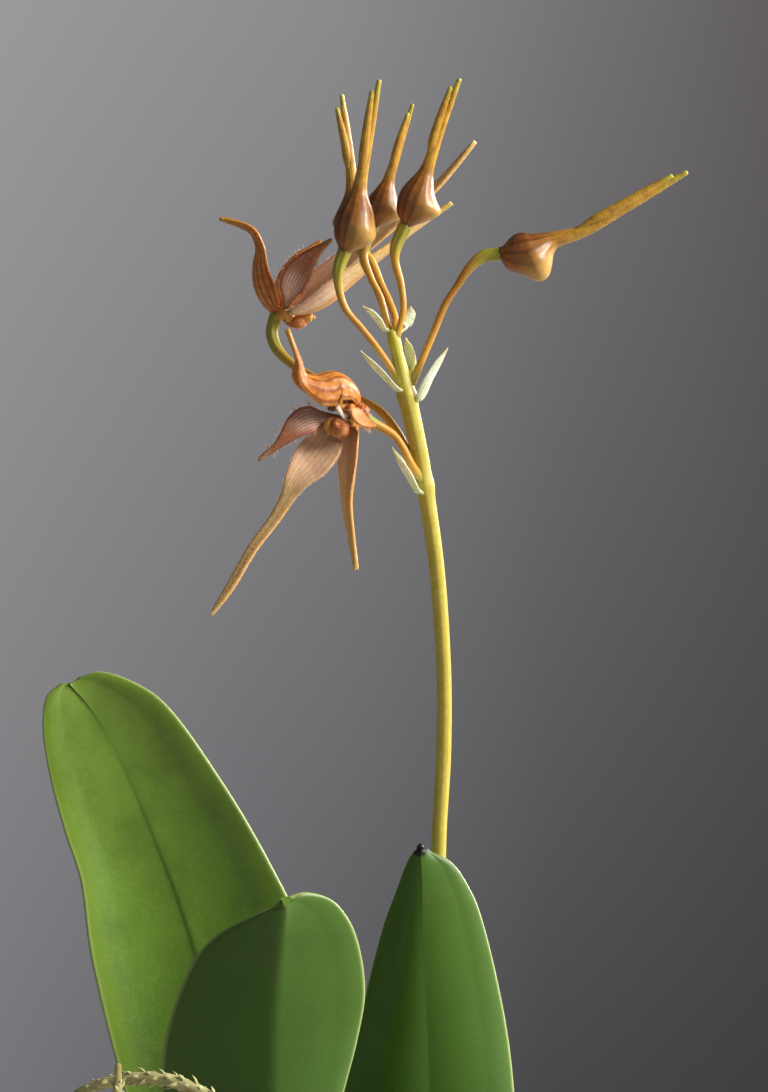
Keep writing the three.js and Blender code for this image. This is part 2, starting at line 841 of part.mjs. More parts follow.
function budGeometry({ path, second, chin, chinAt, chinDepth, size }) {
  const bulge = (t) => chinDepth * Math.exp(-(((t - chinAt) / CHIN_LENGTH) ** 2));
  const body = tube({
    path,
    radii: BUD_RADII.map((k) => k * BUD_RADIUS * size),
    sides: 11,
    rings: 15,
    facing: chin,
    swell: (t, angle) => 1 + bulge(t) * Math.max(0, Math.cos(angle)) ** 2,
  });
  const tail = tube({
    path: second,
    radii: [0.24, 0.26, 0.14].map((k) => k * BUD_RADIUS * size),
    sides: 5,
    rings: 5,
  });
  return geometryOf(joined([body, tail]));
}

// Open flowers: stations of x, y, z, half width and bend

const FRONT_FLOWER = {
  dorsal_sepal: {
    look: "hood",
    face: [-0.1, 0.1, -1],
    faceTip: [-0.75, 0.1, -0.65],
    stations: [
      [0.55, -2.15, 73.15, 0.95, 1.2],
      [0.15, -2.6, 74.3, 1.75, 1.5],
      [-0.9, -3.3, 75.0, 2.3, 1.7],
      [-2.1, -3.9, 74.75, 2.3, 1.8],
      [-2.95, -4.3, 74.9, 1.35, 1.4],
      [-3.3, -4.6, 75.8, 0.6, 0.8],
      [-3.7, -4.8, 76.8, 0.36, 0.3],
      [-4.15, -5.0, 77.95, 0.2, 0.1],
    ],
    rows: 16,
  },
  left_petal: {
    look: "petal",
    face: [-0.25, -1, 0.25],
    stations: [
      [-1.95, -3.05, 72.0, 0.6, 0.5],
      [-2.65, -3.35, 71.95, 0.95, 0.5],
      [-3.4, -3.7, 71.55, 0.9, 0.5],
      [-4.2, -4.0, 70.85, 0.5, 0.4],
      [-4.85, -4.2, 70.2, 0.24, 0.2],
      [-5.45, -4.3, 69.75, 0.17, 0.1],
      [-6.07, -4.4, 69.27, 0.14, 0.1],
    ],
    rows: 14,
  },
  right_petal: {
    look: "petal",
    face: [0.75, -0.2, 0.65],
    stations: [
      [0.25, -3.45, 72.7, 0.4, 0.4],
      [0.45, -3.6, 72.25, 0.7, 0.5],
      [0.8, -3.55, 71.9, 0.58, 0.5],
      [1.25, -3.4, 71.65, 0.32, 0.3],
      [1.7, -3.25, 71.55, 0.16, 0.1],
    ],
    rows: 10,
  },
  long_sepal: {
    look: "sepal",
    face: [-0.2, -1, 0.1],
    faceTip: [-0.5, -0.85, 0.1],
    stations: [
      [-1.15, -2.2, 71.0, 0.95, 0.4],
      [-1.85, -2.7, 69.95, 1.35, 0.5],
      [-2.6, -3.2, 68.95, 1.35, 0.6],
      [-3.4, -3.6, 68.0, 0.95, 0.6],
      [-4.05, -3.9, 66.9, 0.56, 0.4],
      [-5.0, -4.2, 65.35, 0.42, 0.3],
      [-6.4, -4.5, 63.45, 0.37, 0.3],
      [-7.9, -4.7, 60.9, 0.32, 0.2],
      [-9.2, -4.8, 59.0, 0.17, 0.1],
    ],
    rows: 20,
  },
  hanging_sepal: {
    look: "sepal",
    face: [-0.88, -0.5, 0.1],
    stations: [
      [0.25, -2.1, 71.2, 0.9, 0.4],
      [0.1, -2.4, 69.8, 1.2, 0.5],
      [0.0, -2.5, 68.2, 1.0, 0.6],
      [-0.1, -2.4, 66.5, 0.7, 0.6],
      [0.1, -2.2, 64.3, 0.42, 0.3],
      [0.43, -2.0, 62.0, 0.18, 0.1],
    ],
    rows: 16,
  },
  lip: {
    look: "lip",
    path: [
      [-0.2, -2.95, 71.15],
      [-0.45, -3.25, 71.2],
      [-0.68, -3.55, 71.4],
      [-0.85, -3.95, 71.55],
      [-0.95, -4.2, 71.6],
    ],
    radii: [0.3, 0.55, 0.7, 0.6, 0.25],
    lobe: [
      [-0.75, -3.2, 71.55],
      [-1.2, -3.45, 71.8],
      [-1.42, -3.62, 71.5],
      [-1.35, -3.8, 71.1],
    ],
    lobeRadii: [0.2, 0.32, 0.34, 0.16],
  },
  column: {
    look: "column",
    path: [
      [0.28, -2.25, 72.4],
      [-0.1, -2.6, 72.68],
      [-0.6, -3.1, 72.92],
      [-1.0, -3.45, 72.93],
      [-1.2, -3.65, 72.8],
    ],
    radii: [0.4, 0.42, 0.4, 0.42, 0.2],
    lobe: [
      [0.3, -2.3, 72.5],
      [0.25, -2.5, 72.1],
      [0.15, -2.65, 71.7],
    ],
    lobeRadii: [0.3, 0.3, 0.24],
  },
};

const BACK_FLOWER = {
  dorsal_sepal: {
    look: "hood",
    face: [0.6, 0.4, 0.7],
    faceTip: [0.7, 0.3, 0.1],
    stations: [
      [-5.15, 8.0, 79.45, 0.85, 1.0],
      [-5.85, 8.0, 80.2, 1.35, 1.2],
      [-6.3, 8.0, 81.3, 1.45, 1.2],
      [-6.35, 8.1, 82.5, 1.05, 1.0],
      [-6.2, 8.2, 83.7, 0.55, 0.7],
      [-6.65, 8.3, 84.85, 0.36, 0.3],
      [-7.8, 8.5, 85.45, 0.24, 0.2],
      [-8.85, 8.6, 85.75, 0.16, 0.1],
    ],
    rows: 18,
  },
  left_petal: {
    look: "petal",
    face: [0.35, -1, 0.2],
    stations: [
      [-4.15, 6.9, 80.35, 0.45, 0.4],
      [-4.0, 6.8, 81.1, 0.85, 0.5],
      [-3.5, 6.7, 82.1, 0.9, 0.5],
      [-2.8, 6.6, 82.95, 0.6, 0.4],
      [-2.05, 6.6, 83.65, 0.3, 0.2],
      [-1.2, 6.6, 84.3, 0.14, 0.1],
    ],
    rows: 12,
  },
  right_petal: {
    look: "petal",
    face: [0.5, 1, 0.2],
    stations: [
      [-4.7, 9.9, 80.3, 0.45, 0.4],
      [-4.5, 10.4, 81.1, 0.85, 0.5],
      [-4.0, 10.8, 82.1, 0.9, 0.5],
      [-3.4, 11.0, 83.0, 0.6, 0.4],
      [-2.7, 11.1, 83.7, 0.3, 0.2],
      [-2.0, 11.2, 84.3, 0.14, 0.1],
    ],
    rows: 12,
  },
  long_sepal: {
    look: "sepal",
    face: [-0.45, -0.5, 0.8],
    faceTip: [-0.4, -0.6, 0.7],
    stations: [
      [-3.6, 8.9, 79.95, 0.85, 0.4],
      [-2.4, 9.0, 81.0, 1.35, 0.5],
      [-0.4, 9.1, 82.7, 1.3, 0.6],
      [2.0, 9.2, 84.6, 0.75, 0.5],
      [4.0, 9.3, 86.3, 0.46, 0.3],
      [5.7, 9.3, 87.8, 0.4, 0.3],
      [8.45, 9.4, 91.0, 0.2, 0.1],
    ],
    rows: 18,
  },
  hanging_sepal: {
    look: "sepal",
    face: [-0.5, 0.45, 0.8],
    faceTip: [-0.4, 0.3, 0.85],
    stations: [
      [-3.35, 7.05, 79.4, 0.75, 0.4],
      [-1.75, 6.95, 80.1, 1.35, 0.5],
      [0.0, 7.0, 81.5, 1.25, 0.6],
      [2.3, 7.1, 83.4, 0.7, 0.5],
      [4.6, 7.2, 85.2, 0.42, 0.3],
      [6.85, 7.3, 86.75, 0.18, 0.1],
    ],
    rows: 16,
  },
  lip: {
    look: "lip",
    path: [
      [-4.25, 8.05, 78.6],
      [-3.95, 8.1, 78.45],
      [-3.5, 8.15, 78.35],
      [-3.1, 8.15, 78.4],
      [-2.9, 8.15, 78.45],
    ],
    radii: [0.3, 0.5, 0.62, 0.5, 0.22],
    lobe: [
      [-3.5, 8.1, 78.4],
      [-3.0, 8.1, 78.6],
      [-2.6, 8.1, 78.75],
      [-2.4, 8.1, 78.75],
    ],
    lobeRadii: [0.2, 0.3, 0.3, 0.15],
  },
  column: {
    look: "column",
    path: [
      [-4.38, 8.05, 79.75],
      [-4.22, 8.05, 80.15],
      [-4.02, 8.05, 80.6],
      [-3.8, 8.05, 80.9],
      [-3.65, 8.05, 81.0],
    ],
    radii: [0.36, 0.4, 0.38, 0.4, 0.2],
    lobe: [
      [-4.4, 8.05, 79.8],
      [-4.2, 8.05, 79.55],
      [-4.05, 8.05, 79.35],
    ],
    lobeRadii: [0.3, 0.28, 0.22],
  },
};

function flowerPiece(piece) {
  if (piece.stations) return blade(piece);
  const body = tube({ path: piece.path, radii: piece.radii, sides: 8, rings: 7 });
  const lobe = tube({ path: piece.lobe, radii: piece.lobeRadii, sides: 6, rings: 5 });
  return geometryOf(joined([body, lobe]));
}

// Putting the pieces together

const toPlant = (body) => body.translate([0, 0, MOSS_LEVEL]);

const buried = toPlant(
  [
    rhizomeBodies(CLEARANCE),
    ...Object.values(MOSS_STRANDS).map((strand) => solid(mossStrand(strand, CLEARANCE))),
  ].reduce((all, body) => all.add(body)),
);

place(whole, "pot", potGeometry(), "terracotta");
place(whole, "moss_bed", mossGeometry(buried), "moss");
place(plant, "rhizome", geometryOf(rhizomeBodies(0)), "rhizome");
for (const [name, strand] of Object.entries(MOSS_STRANDS)) {
  place(plant, name, mossStrand(strand), "strand");
}
for (const [side, bulb] of Object.entries(BULBS)) {
  place(plant, "pseudobulb_" + side, bulbGeometry(bulb), "pseudobulb");
}
for (const [side, leaf] of Object.entries(LEAVES)) {
  place(plant, "leaf_" + side, leafBlade(leaf), "leaf");
}
place(plant, "flower_stalk", stalkGeometry(), "stalk");
BRACTS.forEach((bract, i) => place(plant, "bract_" + (i + 1), bractGeometry(bract), "bract"));
for (const [name, bud] of Object.entries(BUDS)) {
  place(plant, name, budGeometry(bud), "bud");
}
for (const [flower, pieces] of [["front_flower", FRONT_FLOWER], ["back_flower", BACK_FLOWER]]) {
  for (const [name, piece] of Object.entries(pieces)) {
    place(plant, flower + "_" + name, flowerPiece(piece), piece.look);
  }
}

export default whole;
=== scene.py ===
"""Looks of a small potted orchid, Bulbophyllum taiwanense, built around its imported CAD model.

Curves are in millimetres in the frame of the CAD model, +Z up, with the flowers facing -Y.
Heights of the plant are measured from the level of the moss, as in the CAD source.
"""

import math

import bpy
import numpy as np
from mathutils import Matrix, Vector


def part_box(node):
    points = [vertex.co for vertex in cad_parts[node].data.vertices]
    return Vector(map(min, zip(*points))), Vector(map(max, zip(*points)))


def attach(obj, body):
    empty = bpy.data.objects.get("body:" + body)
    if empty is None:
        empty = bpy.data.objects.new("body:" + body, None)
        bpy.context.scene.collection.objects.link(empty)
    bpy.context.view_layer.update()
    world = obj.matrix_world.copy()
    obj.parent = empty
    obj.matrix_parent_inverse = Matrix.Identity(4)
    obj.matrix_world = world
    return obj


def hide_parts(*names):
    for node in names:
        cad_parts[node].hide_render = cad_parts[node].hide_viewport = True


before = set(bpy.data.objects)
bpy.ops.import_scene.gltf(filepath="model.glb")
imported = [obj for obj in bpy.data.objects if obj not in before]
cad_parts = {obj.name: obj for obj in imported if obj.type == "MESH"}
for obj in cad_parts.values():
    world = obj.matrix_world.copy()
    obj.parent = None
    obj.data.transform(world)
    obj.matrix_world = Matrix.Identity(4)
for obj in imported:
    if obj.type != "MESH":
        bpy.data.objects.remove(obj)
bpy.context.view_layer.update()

bl_info = {
    "name": "Potted orchid", "version": (1, 0, 0), "blender": (4, 5, 0),
    "location": "3D View > Sidebar > Orchid",
    "description": "Builds a potted miniature orchid in flower around its CAD model",
    "category": "Object",
}

MM = 0.001
TAU = 2 * math.pi
GOLDEN = math.pi * (3 - math.sqrt(5))  # turn between one leaflet and the next

# The pot, in millimetres: its outside comes from the frame
POT_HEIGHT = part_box("pot")[1].z / MM
RIM_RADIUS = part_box("pot")[1].x / MM
RIM_BAND = 11
RIM_STEP = 1.9
RIM_LEAN = 1.2
FOOT_RADIUS = 22
WALL = 3.2
FLOOR = 4
FLOOR_CORNER = 1.5
EDGE = 0.8
DRAIN_RADIUS = 4.5
COARSE_LINES = 1.9  # distance between the lines that turning leaves
FINE_LINES = 0.8

# The moss, a low mound with a heap where its loose strands stand up
BULB_FOOT = 1.4
MOSS_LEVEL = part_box("pseudobulb_left")[0].z / MM - BULB_FOOT
MOSS_EDGE = MOSS_LEVEL - 6.5
MOSS_FALL = 2.4  # how late the mound falls away towards the wall
HEAP_AT = (-8, -20)
HEAP_RISE = 7
HEAP_SPREAD = 40  # square millimetres
HUMMOCKS = (  # height, waves along x and y in radians a millimetre, phase
    (0.3, 0.52, 0.45, 1.3),
    (0.26, 0.5, -0.48, 0.2),
    (0.2, 1.05, 0.15, 2),
    (0.15, -0.3, 1.1, 0.7),
)
CLEARANCE = 0.3
DAMP_FOOT, DAMP_TOP = 30, 46  # heights between which the pot's wall turns damp
BARE_WIDTH = 2.3  # moss heads stay this far from the rhizome's middle
HEAD_SEED = 11
HEAD_TRIES = 9000
HEAD_BRANCHES = 18
BRANCH_LENGTH = 1.5
LOOSE_SEED = 23
LOOSE_START = 22  # how far out a loose strand may start
LOOSE_REACH = 25.5  # and how far out it may run
LOOSE_POINTS = 16
STRAND_POINTS = 80

# The plant
RHIZOME_RADIUS = 1.05
ROOT_RADIUS = 0.5
BULB_HEIGHT = 8.9
BULB_RADIUS = 3.7
BULB_RADII = np.array([0.28, 0.72, 0.97, 1, 0.86, 0.56, 0.3]) * BULB_RADIUS
SHEATH_STRIPS = 9
BULB_RIBS = 7
RIB_RISE = 0.045
LEAF_KEEL = 1.2
LEAF_MARGIN = 0.6
KEEL_REACH = 0.67
LEAF_FOOT = 0.17
STALK_RADIUS = 0.5
PEDICEL_RADIUS = 0.24
BUD_RADIUS = 1.22
TIP_CROWDING = 0.55

# The photograph's view: its frame and the scale of its middle
PHOTO_HEIGHT = 1092
PIXELS_PER_MM = 15
CAMERA_DISTANCE = 600
PHOTO_TOP = 100  # height of its upper edge above the moss
PHOTO_MIDDLE = 2.27
FILM_SIZE = 36
FLOOR_SIZE = 1150
FLOOR_SIDES = 128
BACKDROP_LIGHT = 0.4  # share of the backdrop's light that reaches the plant


def colour(code):
    """A hex sRGB value as linear red, green, blue and alpha."""
    shares = [int(code[i : i + 2], 16) / 255 for i in (1, 3, 5)]
    return [c / 12.92 if c <= 0.04045 else ((c + 0.055) / 1.055) ** 2.4 for c in shares] + [1.0]


def tone(shade):
    """A colour given as a hex value or as linear numbers."""
    return colour(shade) if isinstance(shade, str) else list(shade)


def add(tree, kind, inputs=None, stops=None, **settings):
    """Adds a node with its settings, a ramp's stops, and its inputs: values, sockets, or nodes,
    which stand for their first output."""
    node = tree.nodes.new(kind)
    for name, value in settings.items():
        setattr(node, name, value)
    if stops:
        ramp = node.color_ramp
        places = sorted(stops)
        ramp.elements[0].position = places[0]
        ramp.elements[1].position = places[-1]
        for place in places[1:-1]:
            ramp.elements.new(place)
        for element, place in zip(ramp.elements, places):
            element.color = tone(stops[place])
    for name, value in (inputs or {}).items():
        connect(tree, value, node.inputs[name])
    return node


def connect(tree, value, socket):
    """Gives an input its value, or a link where the value is a socket or a node."""
    if isinstance(value, bpy.types.Node):
        value = value.outputs[0]
    if isinstance(value, bpy.types.NodeSocket):
        tree.links.new(value, socket)
    else:
        socket.default_value = value


# Curves


class Path:
    """A smooth curve through points, the centripetal spline that the CAD model uses."""

    def __init__(self, points):
        p = np.asarray(points, float)
        self.points = np.vstack([2 * p[0] - p[1], p, 2 * p[-1] - p[-2]])
        self.last = len(p) - 1
        self.steps = np.linspace(0, 1, 401)
        strides = np.linalg.norm(np.diff(self.at(self.steps), axis=0), axis=1)
        self.run = np.concatenate([[0], np.cumsum(strides)])

    def at(self, t):
        place = np.clip(np.asarray(t, float), 0, 1) * self.last
        i = np.minimum(place.astype(int), self.last - 1)
        w = (place - i)[..., None]
        a, b, c, d = (self.points[i + k] for k in range(4))
        ab, bc, cd = (
            np.sqrt(np.linalg.norm(q - p, axis=-1, keepdims=True))
            for p, q in ((a, b), (b, c), (c, d))
        )
        enter = ((b - a) / ab - (c - a) / (ab + bc) + (c - b) / bc) * bc
        leave = ((c - b) / bc - (d - b) / (bc + cd) + (d - c) / cd) * bc
        square = 3 * (c - b) - 2 * enter - leave
        return b + enter * w + square * w**2 + (2 * (b - c) + enter + leave) * w**3

    def ahead(self, t):
        t = np.asarray(t, float)
        step = 1e-4
        return unit(self.at(np.minimum(t + step, 1)) - self.at(np.maximum(t - step, 0)))

    def even(self, share):
        """The point at a share of the curve's length."""
        return self.at(np.interp(share, self.run / self.run[-1], self.steps))


def unit(v):
    """Vectors at length 1."""
    return v / np.maximum(np.linalg.norm(v, axis=-1, keepdims=True), 1e-9)


def along(values, t):
    """The value at t of a smooth line through evenly spaced values."""
    v = np.asarray(values, float)
    last = len(v) - 1
    place = np.minimum(np.asarray(t, float), 0.99999) * last
    i = place.astype(int)
    f = place - i
    before, here, after, beyond = (v[np.clip(i + k, 0, last)] for k in (-1, 0, 1, 2))
    enter = (after - before) / 2
    leave = (beyond - here) / 2
    return (
        (2 * f**3 - 3 * f**2 + 1) * here
        + (f**3 - 2 * f**2 + f) * enter
        + (3 * f**2 - 2 * f**3) * after
        + (f**3 - f**2) * leave
    )


def rise(low, high, value):
    """A smooth step from 0 at low to 1 at high."""
    share = np.clip((value - low) / (high - low), 0, 1)
    return share * share * (3 - 2 * share)


def lumps(points, size, seed):
    """A smooth uneven field from -1 to 1 over points, its bumps about size millimetres across."""
    random = np.random.default_rng(seed)
    total = np.zeros(points.shape[:-1])
    for _ in range(7):
        heading = unit(random.normal(size=3)) * TAU / (size * random.uniform(0.7, 1.6))
        total += np.sin(points @ heading + random.uniform(0, TAU))
    return total / 4


# Surfaces: each skin is closed, in millimetres, with UV at its corners and marks on its points


class Skin:
    """A closed surface: finish is the number of its material in its piece."""

    def __init__(self, points, faces, uv, marks=None, finish=0):
        self.points = points
        self.faces = faces
        self.uv = uv
        self.marks = marks or {}
        self.finish = finish


def marked(marks, *where):
    """Marks as arrays over a grid: each is a number or a function of the grid's two parameters."""
    shape = np.broadcast(*where).shape
    return {
        name: np.broadcast_to(mark(*where) if callable(mark) else float(mark), shape)
        for name, mark in marks.items()
    }


def hoop_faces(levels, sides, closed=False):
    """Faces between neighbouring hoops of points, with their UV corners. levels are the hoops'
    places in V, and closed joins the last hoop to the first."""
    faces, uv = [], []
    last = len(levels) - 1
    for i in range(last):
        low, high = i * sides, (0 if closed and i == last - 1 else i + 1) * sides
        v, w = levels[i], levels[i + 1]
        for k in range(sides):
            after = (k + 1) % sides
            faces.append((low + k, low + after, high + after, high + k))
            uv += [(u / sides, level) for u, level in ((k, v), (k + 1, v), (k + 1, w), (k, w))]
    return faces, uv


def pole_faces(hoops, sides):
    """The triangles that close the first and the last hoop at the two points that follow them."""
    faces, uv = [], []
    top = (hoops - 1) * sides
    for k in range(sides):
        after = (k + 1) % sides
        faces += [(hoops * sides, after, k), (hoops * sides + 1, top + k, top + after)]
        low, half, high = k / sides, (k + 0.5) / sides, (k + 1) / sides
        uv += [(half, 0), (high, 0), (low, 0), (half, 1), (low, 1), (high, 1)]
    return faces, uv


def tube(
    path, radii, sides, rings, facing=(0.3, -1, 0.2), swell=None, caps=(72, 54, 36, 18),
    flatten=1, finish=0, **marks,
):
    """A round body along a path, rounded at both ends. Its radius follows radii, and swell(t,
    angle) shapes each ring, with angle 0 towards facing. flatten is its depth towards facing over
    its width."""
    line = path if isinstance(path, Path) else Path(path)
    t = np.linspace(0, 1, rings + 1)
    centres = line.at(t)
    ahead = line.ahead(t)
    radius = along(radii, t)
    normals = np.empty_like(ahead)
    normal = np.array(facing, float)
    for i, forward in enumerate(ahead):
        normal = unit(normal - forward * normal.dot(forward))
        normals[i] = normal
    aside = np.cross(ahead, normals)

    turn = np.radians(caps)
    ring = np.array([0] * len(turn) + list(range(rings + 1)) + [rings] * len(turn))
    shift = np.concatenate(
        [-radius[0] * np.sin(turn), np.zeros(rings + 1), radius[-1] * np.sin(turn[::-1])]
    )
    factor = np.concatenate([np.cos(turn), np.ones(rings + 1), np.cos(turn[::-1])])
    angle = TAU * np.arange(sides) / sides
    where = np.meshgrid(t[ring], angle, indexing="ij")
    r = (radius[ring] * factor)[:, None] * (swell(*where) if swell else 1)
    middle = centres[ring] + ahead[ring] * shift[:, None]
    hoops = (
        middle[:, None]
        + normals[ring][:, None] * (r * flatten * np.cos(angle))[..., None]
        + aside[ring][:, None] * (r * np.sin(angle))[..., None]
    )
    poles = [
        centres[0] - ahead[0] * radius[0] * (1 if caps else 0),
        centres[-1] + ahead[-1] * radius[-1] * (1 if caps else 0),
    ]
    points = np.vstack([hoops.reshape(-1, 3), poles])

    faces, uv = hoop_faces(t[ring], sides)
    ends, at_ends = pole_faces(len(ring), sides)
    on_points = {
        name: np.concatenate([mark.ravel(), [mark[0].mean(), mark[-1].mean()]])
        for name, mark in marked(marks, *where).items()
    }
    return Skin(points, faces + ends, uv + at_ends, on_points, finish)


def sheet(surface, thickness, rows, columns, finish=0, **marks):
    """A sheet with thickness over surface(t, u), t from 0 to 1 along it and u from -1 to 1
    across."""
    share = np.linspace(0, 1, rows + 1)
    t, s = np.meshgrid(
        share * (1 + TIP_CROWDING * (1 - share)), np.linspace(-1, 1, columns + 1), indexing="ij"
    )
    u = 0.5 * s + 0.5 * np.sin(s * math.pi / 2)
    step = 0.01
    ahead = surface(np.minimum(t + step, 1), u) - surface(np.maximum(t - step, 0), u)
    aside = surface(t, np.minimum(u + step, 1)) - surface(t, np.maximum(u - step, -1))
    half = unit(np.cross(aside, ahead)) * thickness(t, u)[..., None] / 2
    middle = surface(t, u)
    points = np.vstack([(middle + half).reshape(-1, 3), (middle - half).reshape(-1, 3)])

    wide = columns + 1
    behind = t.size
    faces = []
    for i in range(rows):
        for j in range(columns):
            a = i * wide + j
            faces.append((a, a + 1, a + 1 + wide, a + wide))
            faces.append((a + behind, a + wide + behind, a + 1 + wide + behind, a + 1 + behind))
    rim = list(range(columns))
    rim += [i * wide + columns for i in range(rows)]
    rim += [rows * wide + j for j in range(columns, 0, -1)]
    rim += [i * wide for i in range(rows, 0, -1)]
    for k, p in enumerate(rim):
        q = rim[(k + 1) % len(rim)]
        faces.append((q, p, p + behind, q + behind))
    flat = np.column_stack([(u.ravel() + 1) / 2, t.ravel()])
    flat = np.vstack([flat, flat])
    uv = [tuple(flat[p]) for face in faces for p in face]
    on_points = {name: np.tile(mark.ravel(), 2) for name, mark in marked(marks, t, u).items()}
    on_points["back"] = np.repeat([0.0, 1.0], behind)
    return Skin(points, faces, uv, on_points, finish)


def blade_surface(stations, face, face_tip=None, wave=0, tip=0.95):
    """A petal's middle surface: stations hold x, y, z, half width and bend in radians at the edge.
    Its inner face looks along face at the base and along face_tip at the tip."""
    line = Path([s[:3] for s in stations])
    widths = [s[3] for s in stations]
    bends = [s[4] for s in stations]
    first = np.array(face, float)
    last = first if face_tip is None else np.array(face_tip, float)

    def surface(t, u):
        ahead = line.ahead(t)
        looks = first + (last - first) * t[..., None]
        aside = unit(np.cross(looks, ahead))
        inward = np.cross(ahead, aside)
        bend = np.maximum(along(bends, t), 0.02)
        rounding = np.sqrt(np.clip(1 - np.clip((t - tip) / (1 - tip), 0, 1) ** 2, 0.03, 1))
        radius = along(widths, t) * rounding / bend
        waver = wave * np.sin(9 * t + 1.3 * u) * u**2 * np.sin(math.pi * t)
        return (
            line.at(t)
            + aside * (radius * np.sin(u * bend))[..., None]
            + inward * (radius * (1 - np.cos(u * bend)) + waver)[..., None]
        )

    return surface


def new_object(name, data):
    """An object with its mesh, light or camera, in the scene."""
    result = bpy.data.objects.new(name, data)
    bpy.context.scene.collection.objects.link(result)
    return result


def make_object(name, skins, materials):
    """One smooth object of skins, with its place in its mesh."""
    starts = np.cumsum([0] + [len(skin.points) for skin in skins])
    points = np.vstack([skin.points for skin in skins]) * MM
    faces = [
        tuple(p + start for p in face) for skin, start in zip(skins, starts) for face in skin.faces
    ]
    mesh = bpy.data.meshes.new(name)
    mesh.from_pydata(points.tolist(), [], faces)
    mesh.uv_layers.new(name="UVMap").data.foreach_set(
        "uv", np.concatenate([np.array(skin.uv, np.float32).ravel() for skin in skins])
    )
    for mark in sorted({mark for skin in skins for mark in skin.marks}):
        values = [skin.marks.get(mark, np.zeros(len(skin.points))) for skin in skins]
        layer = mesh.attributes.new(mark, "FLOAT", "POINT")
        layer.data.foreach_set("value", np.concatenate(values).astype(np.float32))
    for material in materials:
        mesh.materials.append(material)
    finishes = np.repeat([skin.finish for skin in skins], [len(skin.faces) for skin in skins])
    mesh.polygons.foreach_set("material_index", finishes.astype(np.int32))
    mesh.shade_smooth()
    mesh.update()
    return new_object(name, mesh)


def stand_for(piece, slot, *nodes):
    """Fixes a finished piece to the plant, in place of CAD nodes. slot is not used."""
    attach(piece, "root")
    if nodes:
        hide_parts(*nodes)


def build(name, skins, materials, slot, *nodes):
    """Makes a piece of skins and puts it in place of CAD nodes."""
    stand_for(make_object(name, skins, materials), slot, *nodes)


# Geometry Nodes: what is scattered, strung along a stem or stands out from a margin


def node_group(name, inputs):
    """A tree with a geometry in and out, and named inputs: label to socket type and default."""
    tree = bpy.data.node_groups.new(name, "GeometryNodeTree")
    tree.interface.new_socket("Geometry", in_out="INPUT", socket_type="NodeSocketGeometry")
    for label, (kind, default) in inputs.items():
        socket = tree.interface.new_socket(label, in_out="INPUT", socket_type="NodeSocket" + kind)
        if default is not None:
            socket.default_value = default
    tree.interface.new_socket("Geometry", in_out="OUTPUT", socket_type="NodeSocketGeometry")
    return tree, add(tree, "NodeGroupInput").outputs


def end_group(tree, given, points, rotation, scale):
    """Puts the piece on points, gives each copy a tint of its own, realizes them and sets their
    material."""
    piece = add(tree, "GeometryNodeObjectInfo", {"Object": given["Piece"], "As Instance": True})
    instances = add(
        tree,
        "GeometryNodeInstanceOnPoints",
        {
            "Points": points, "Instance": piece.outputs["Geometry"], "Rotation": rotation,
            "Scale": scale,
        },
    )
    tint = add(tree, "FunctionNodeRandomValue", {"Seed": given["Seed"]}, data_type="FLOAT")
    stored = add(
        tree, "GeometryNodeStoreNamedAttribute",
        {"Geometry": instances, "Name": "tint", "Value": tint.outputs[1]}, data_type="FLOAT",
        domain="INSTANCE",
    )
    real = add(tree, "GeometryNodeRealizeInstances", {"Geometry": stored})
    dressed = add(
        tree, "GeometryNodeSetMaterial", {"Geometry": real, "Material": given["Material"]}
    )
    smooth = add(tree, "GeometryNodeSetShadeSmooth", {"Geometry": dressed})
    add(tree, "NodeGroupOutput", {"Geometry": smooth})
    return tree


def spiral_tree():
    """Leaflets in a spiral along the edges of a mesh, each sized by the mark size."""
    tree, given = node_group(
        "Spiral along a stem",
        {
            "Piece": ("Object", None), "Material": ("Material", None), "Spacing": ("Float", 0.0004),
            "Turn": ("Float", GOLDEN), "Seed": ("Int", 1),
        },
    )
    stem = add(tree, "GeometryNodeMeshToCurve", {"Mesh": given["Geometry"]})
    spots = add(
        tree, "GeometryNodeCurveToPoints", {"Curve": stem, "Length": given["Spacing"]},
        mode="LENGTH",
    )
    index = add(tree, "GeometryNodeInputIndex")
    turn = add(tree, "ShaderNodeMath", {0: index, 1: given["Turn"]}, operation="MULTIPLY")
    about = add(tree, "ShaderNodeCombineXYZ", {"Z": turn})
    spun = add(tree, "FunctionNodeEulerToRotation", {"Euler": about})
    facing = add(
        tree, "FunctionNodeRotateRotation",
        {"Rotation": spots.outputs["Rotation"], "Rotate By": spun}, rotation_space="LOCAL",
    )
    size = add(tree, "GeometryNodeInputNamedAttribute", {"Name": "size"}, data_type="FLOAT")
    vary = add(
        tree, "FunctionNodeRandomValue", {2: 0.75, 3: 1.2, "Seed": given["Seed"]},
        data_type="FLOAT",
    )
    scale = add(tree, "ShaderNodeMath", {0: size, 1: vary.outputs[1]}, operation="MULTIPLY")
    return end_group(tree, given, spots, facing, scale)


def outward_tree():
    """Pieces on loose points, each pointing along its mark out, drooping, and sized by its mark
    size."""
    tree, given = node_group(
        "Pieces that point outward",
        {"Piece": ("Object", None), "Material": ("Material", None), "Seed": ("Int", 1)},
    )
    out = add(tree, "GeometryNodeInputNamedAttribute", {"Name": "out"}, data_type="FLOAT_VECTOR")
    along_out = add(tree, "FunctionNodeAlignRotationToVector", {"Vector": out}, axis="Z")
    facing = add(
        tree, "FunctionNodeAlignRotationToVector",
        {"Rotation": along_out, "Vector": (0.0, 0.0, -1.0)}, axis="X", pivot_axis="Z",
    )
    size = add(tree, "GeometryNodeInputNamedAttribute", {"Name": "size"}, data_type="FLOAT")
    return end_group(tree, given, given["Geometry"], facing, size)


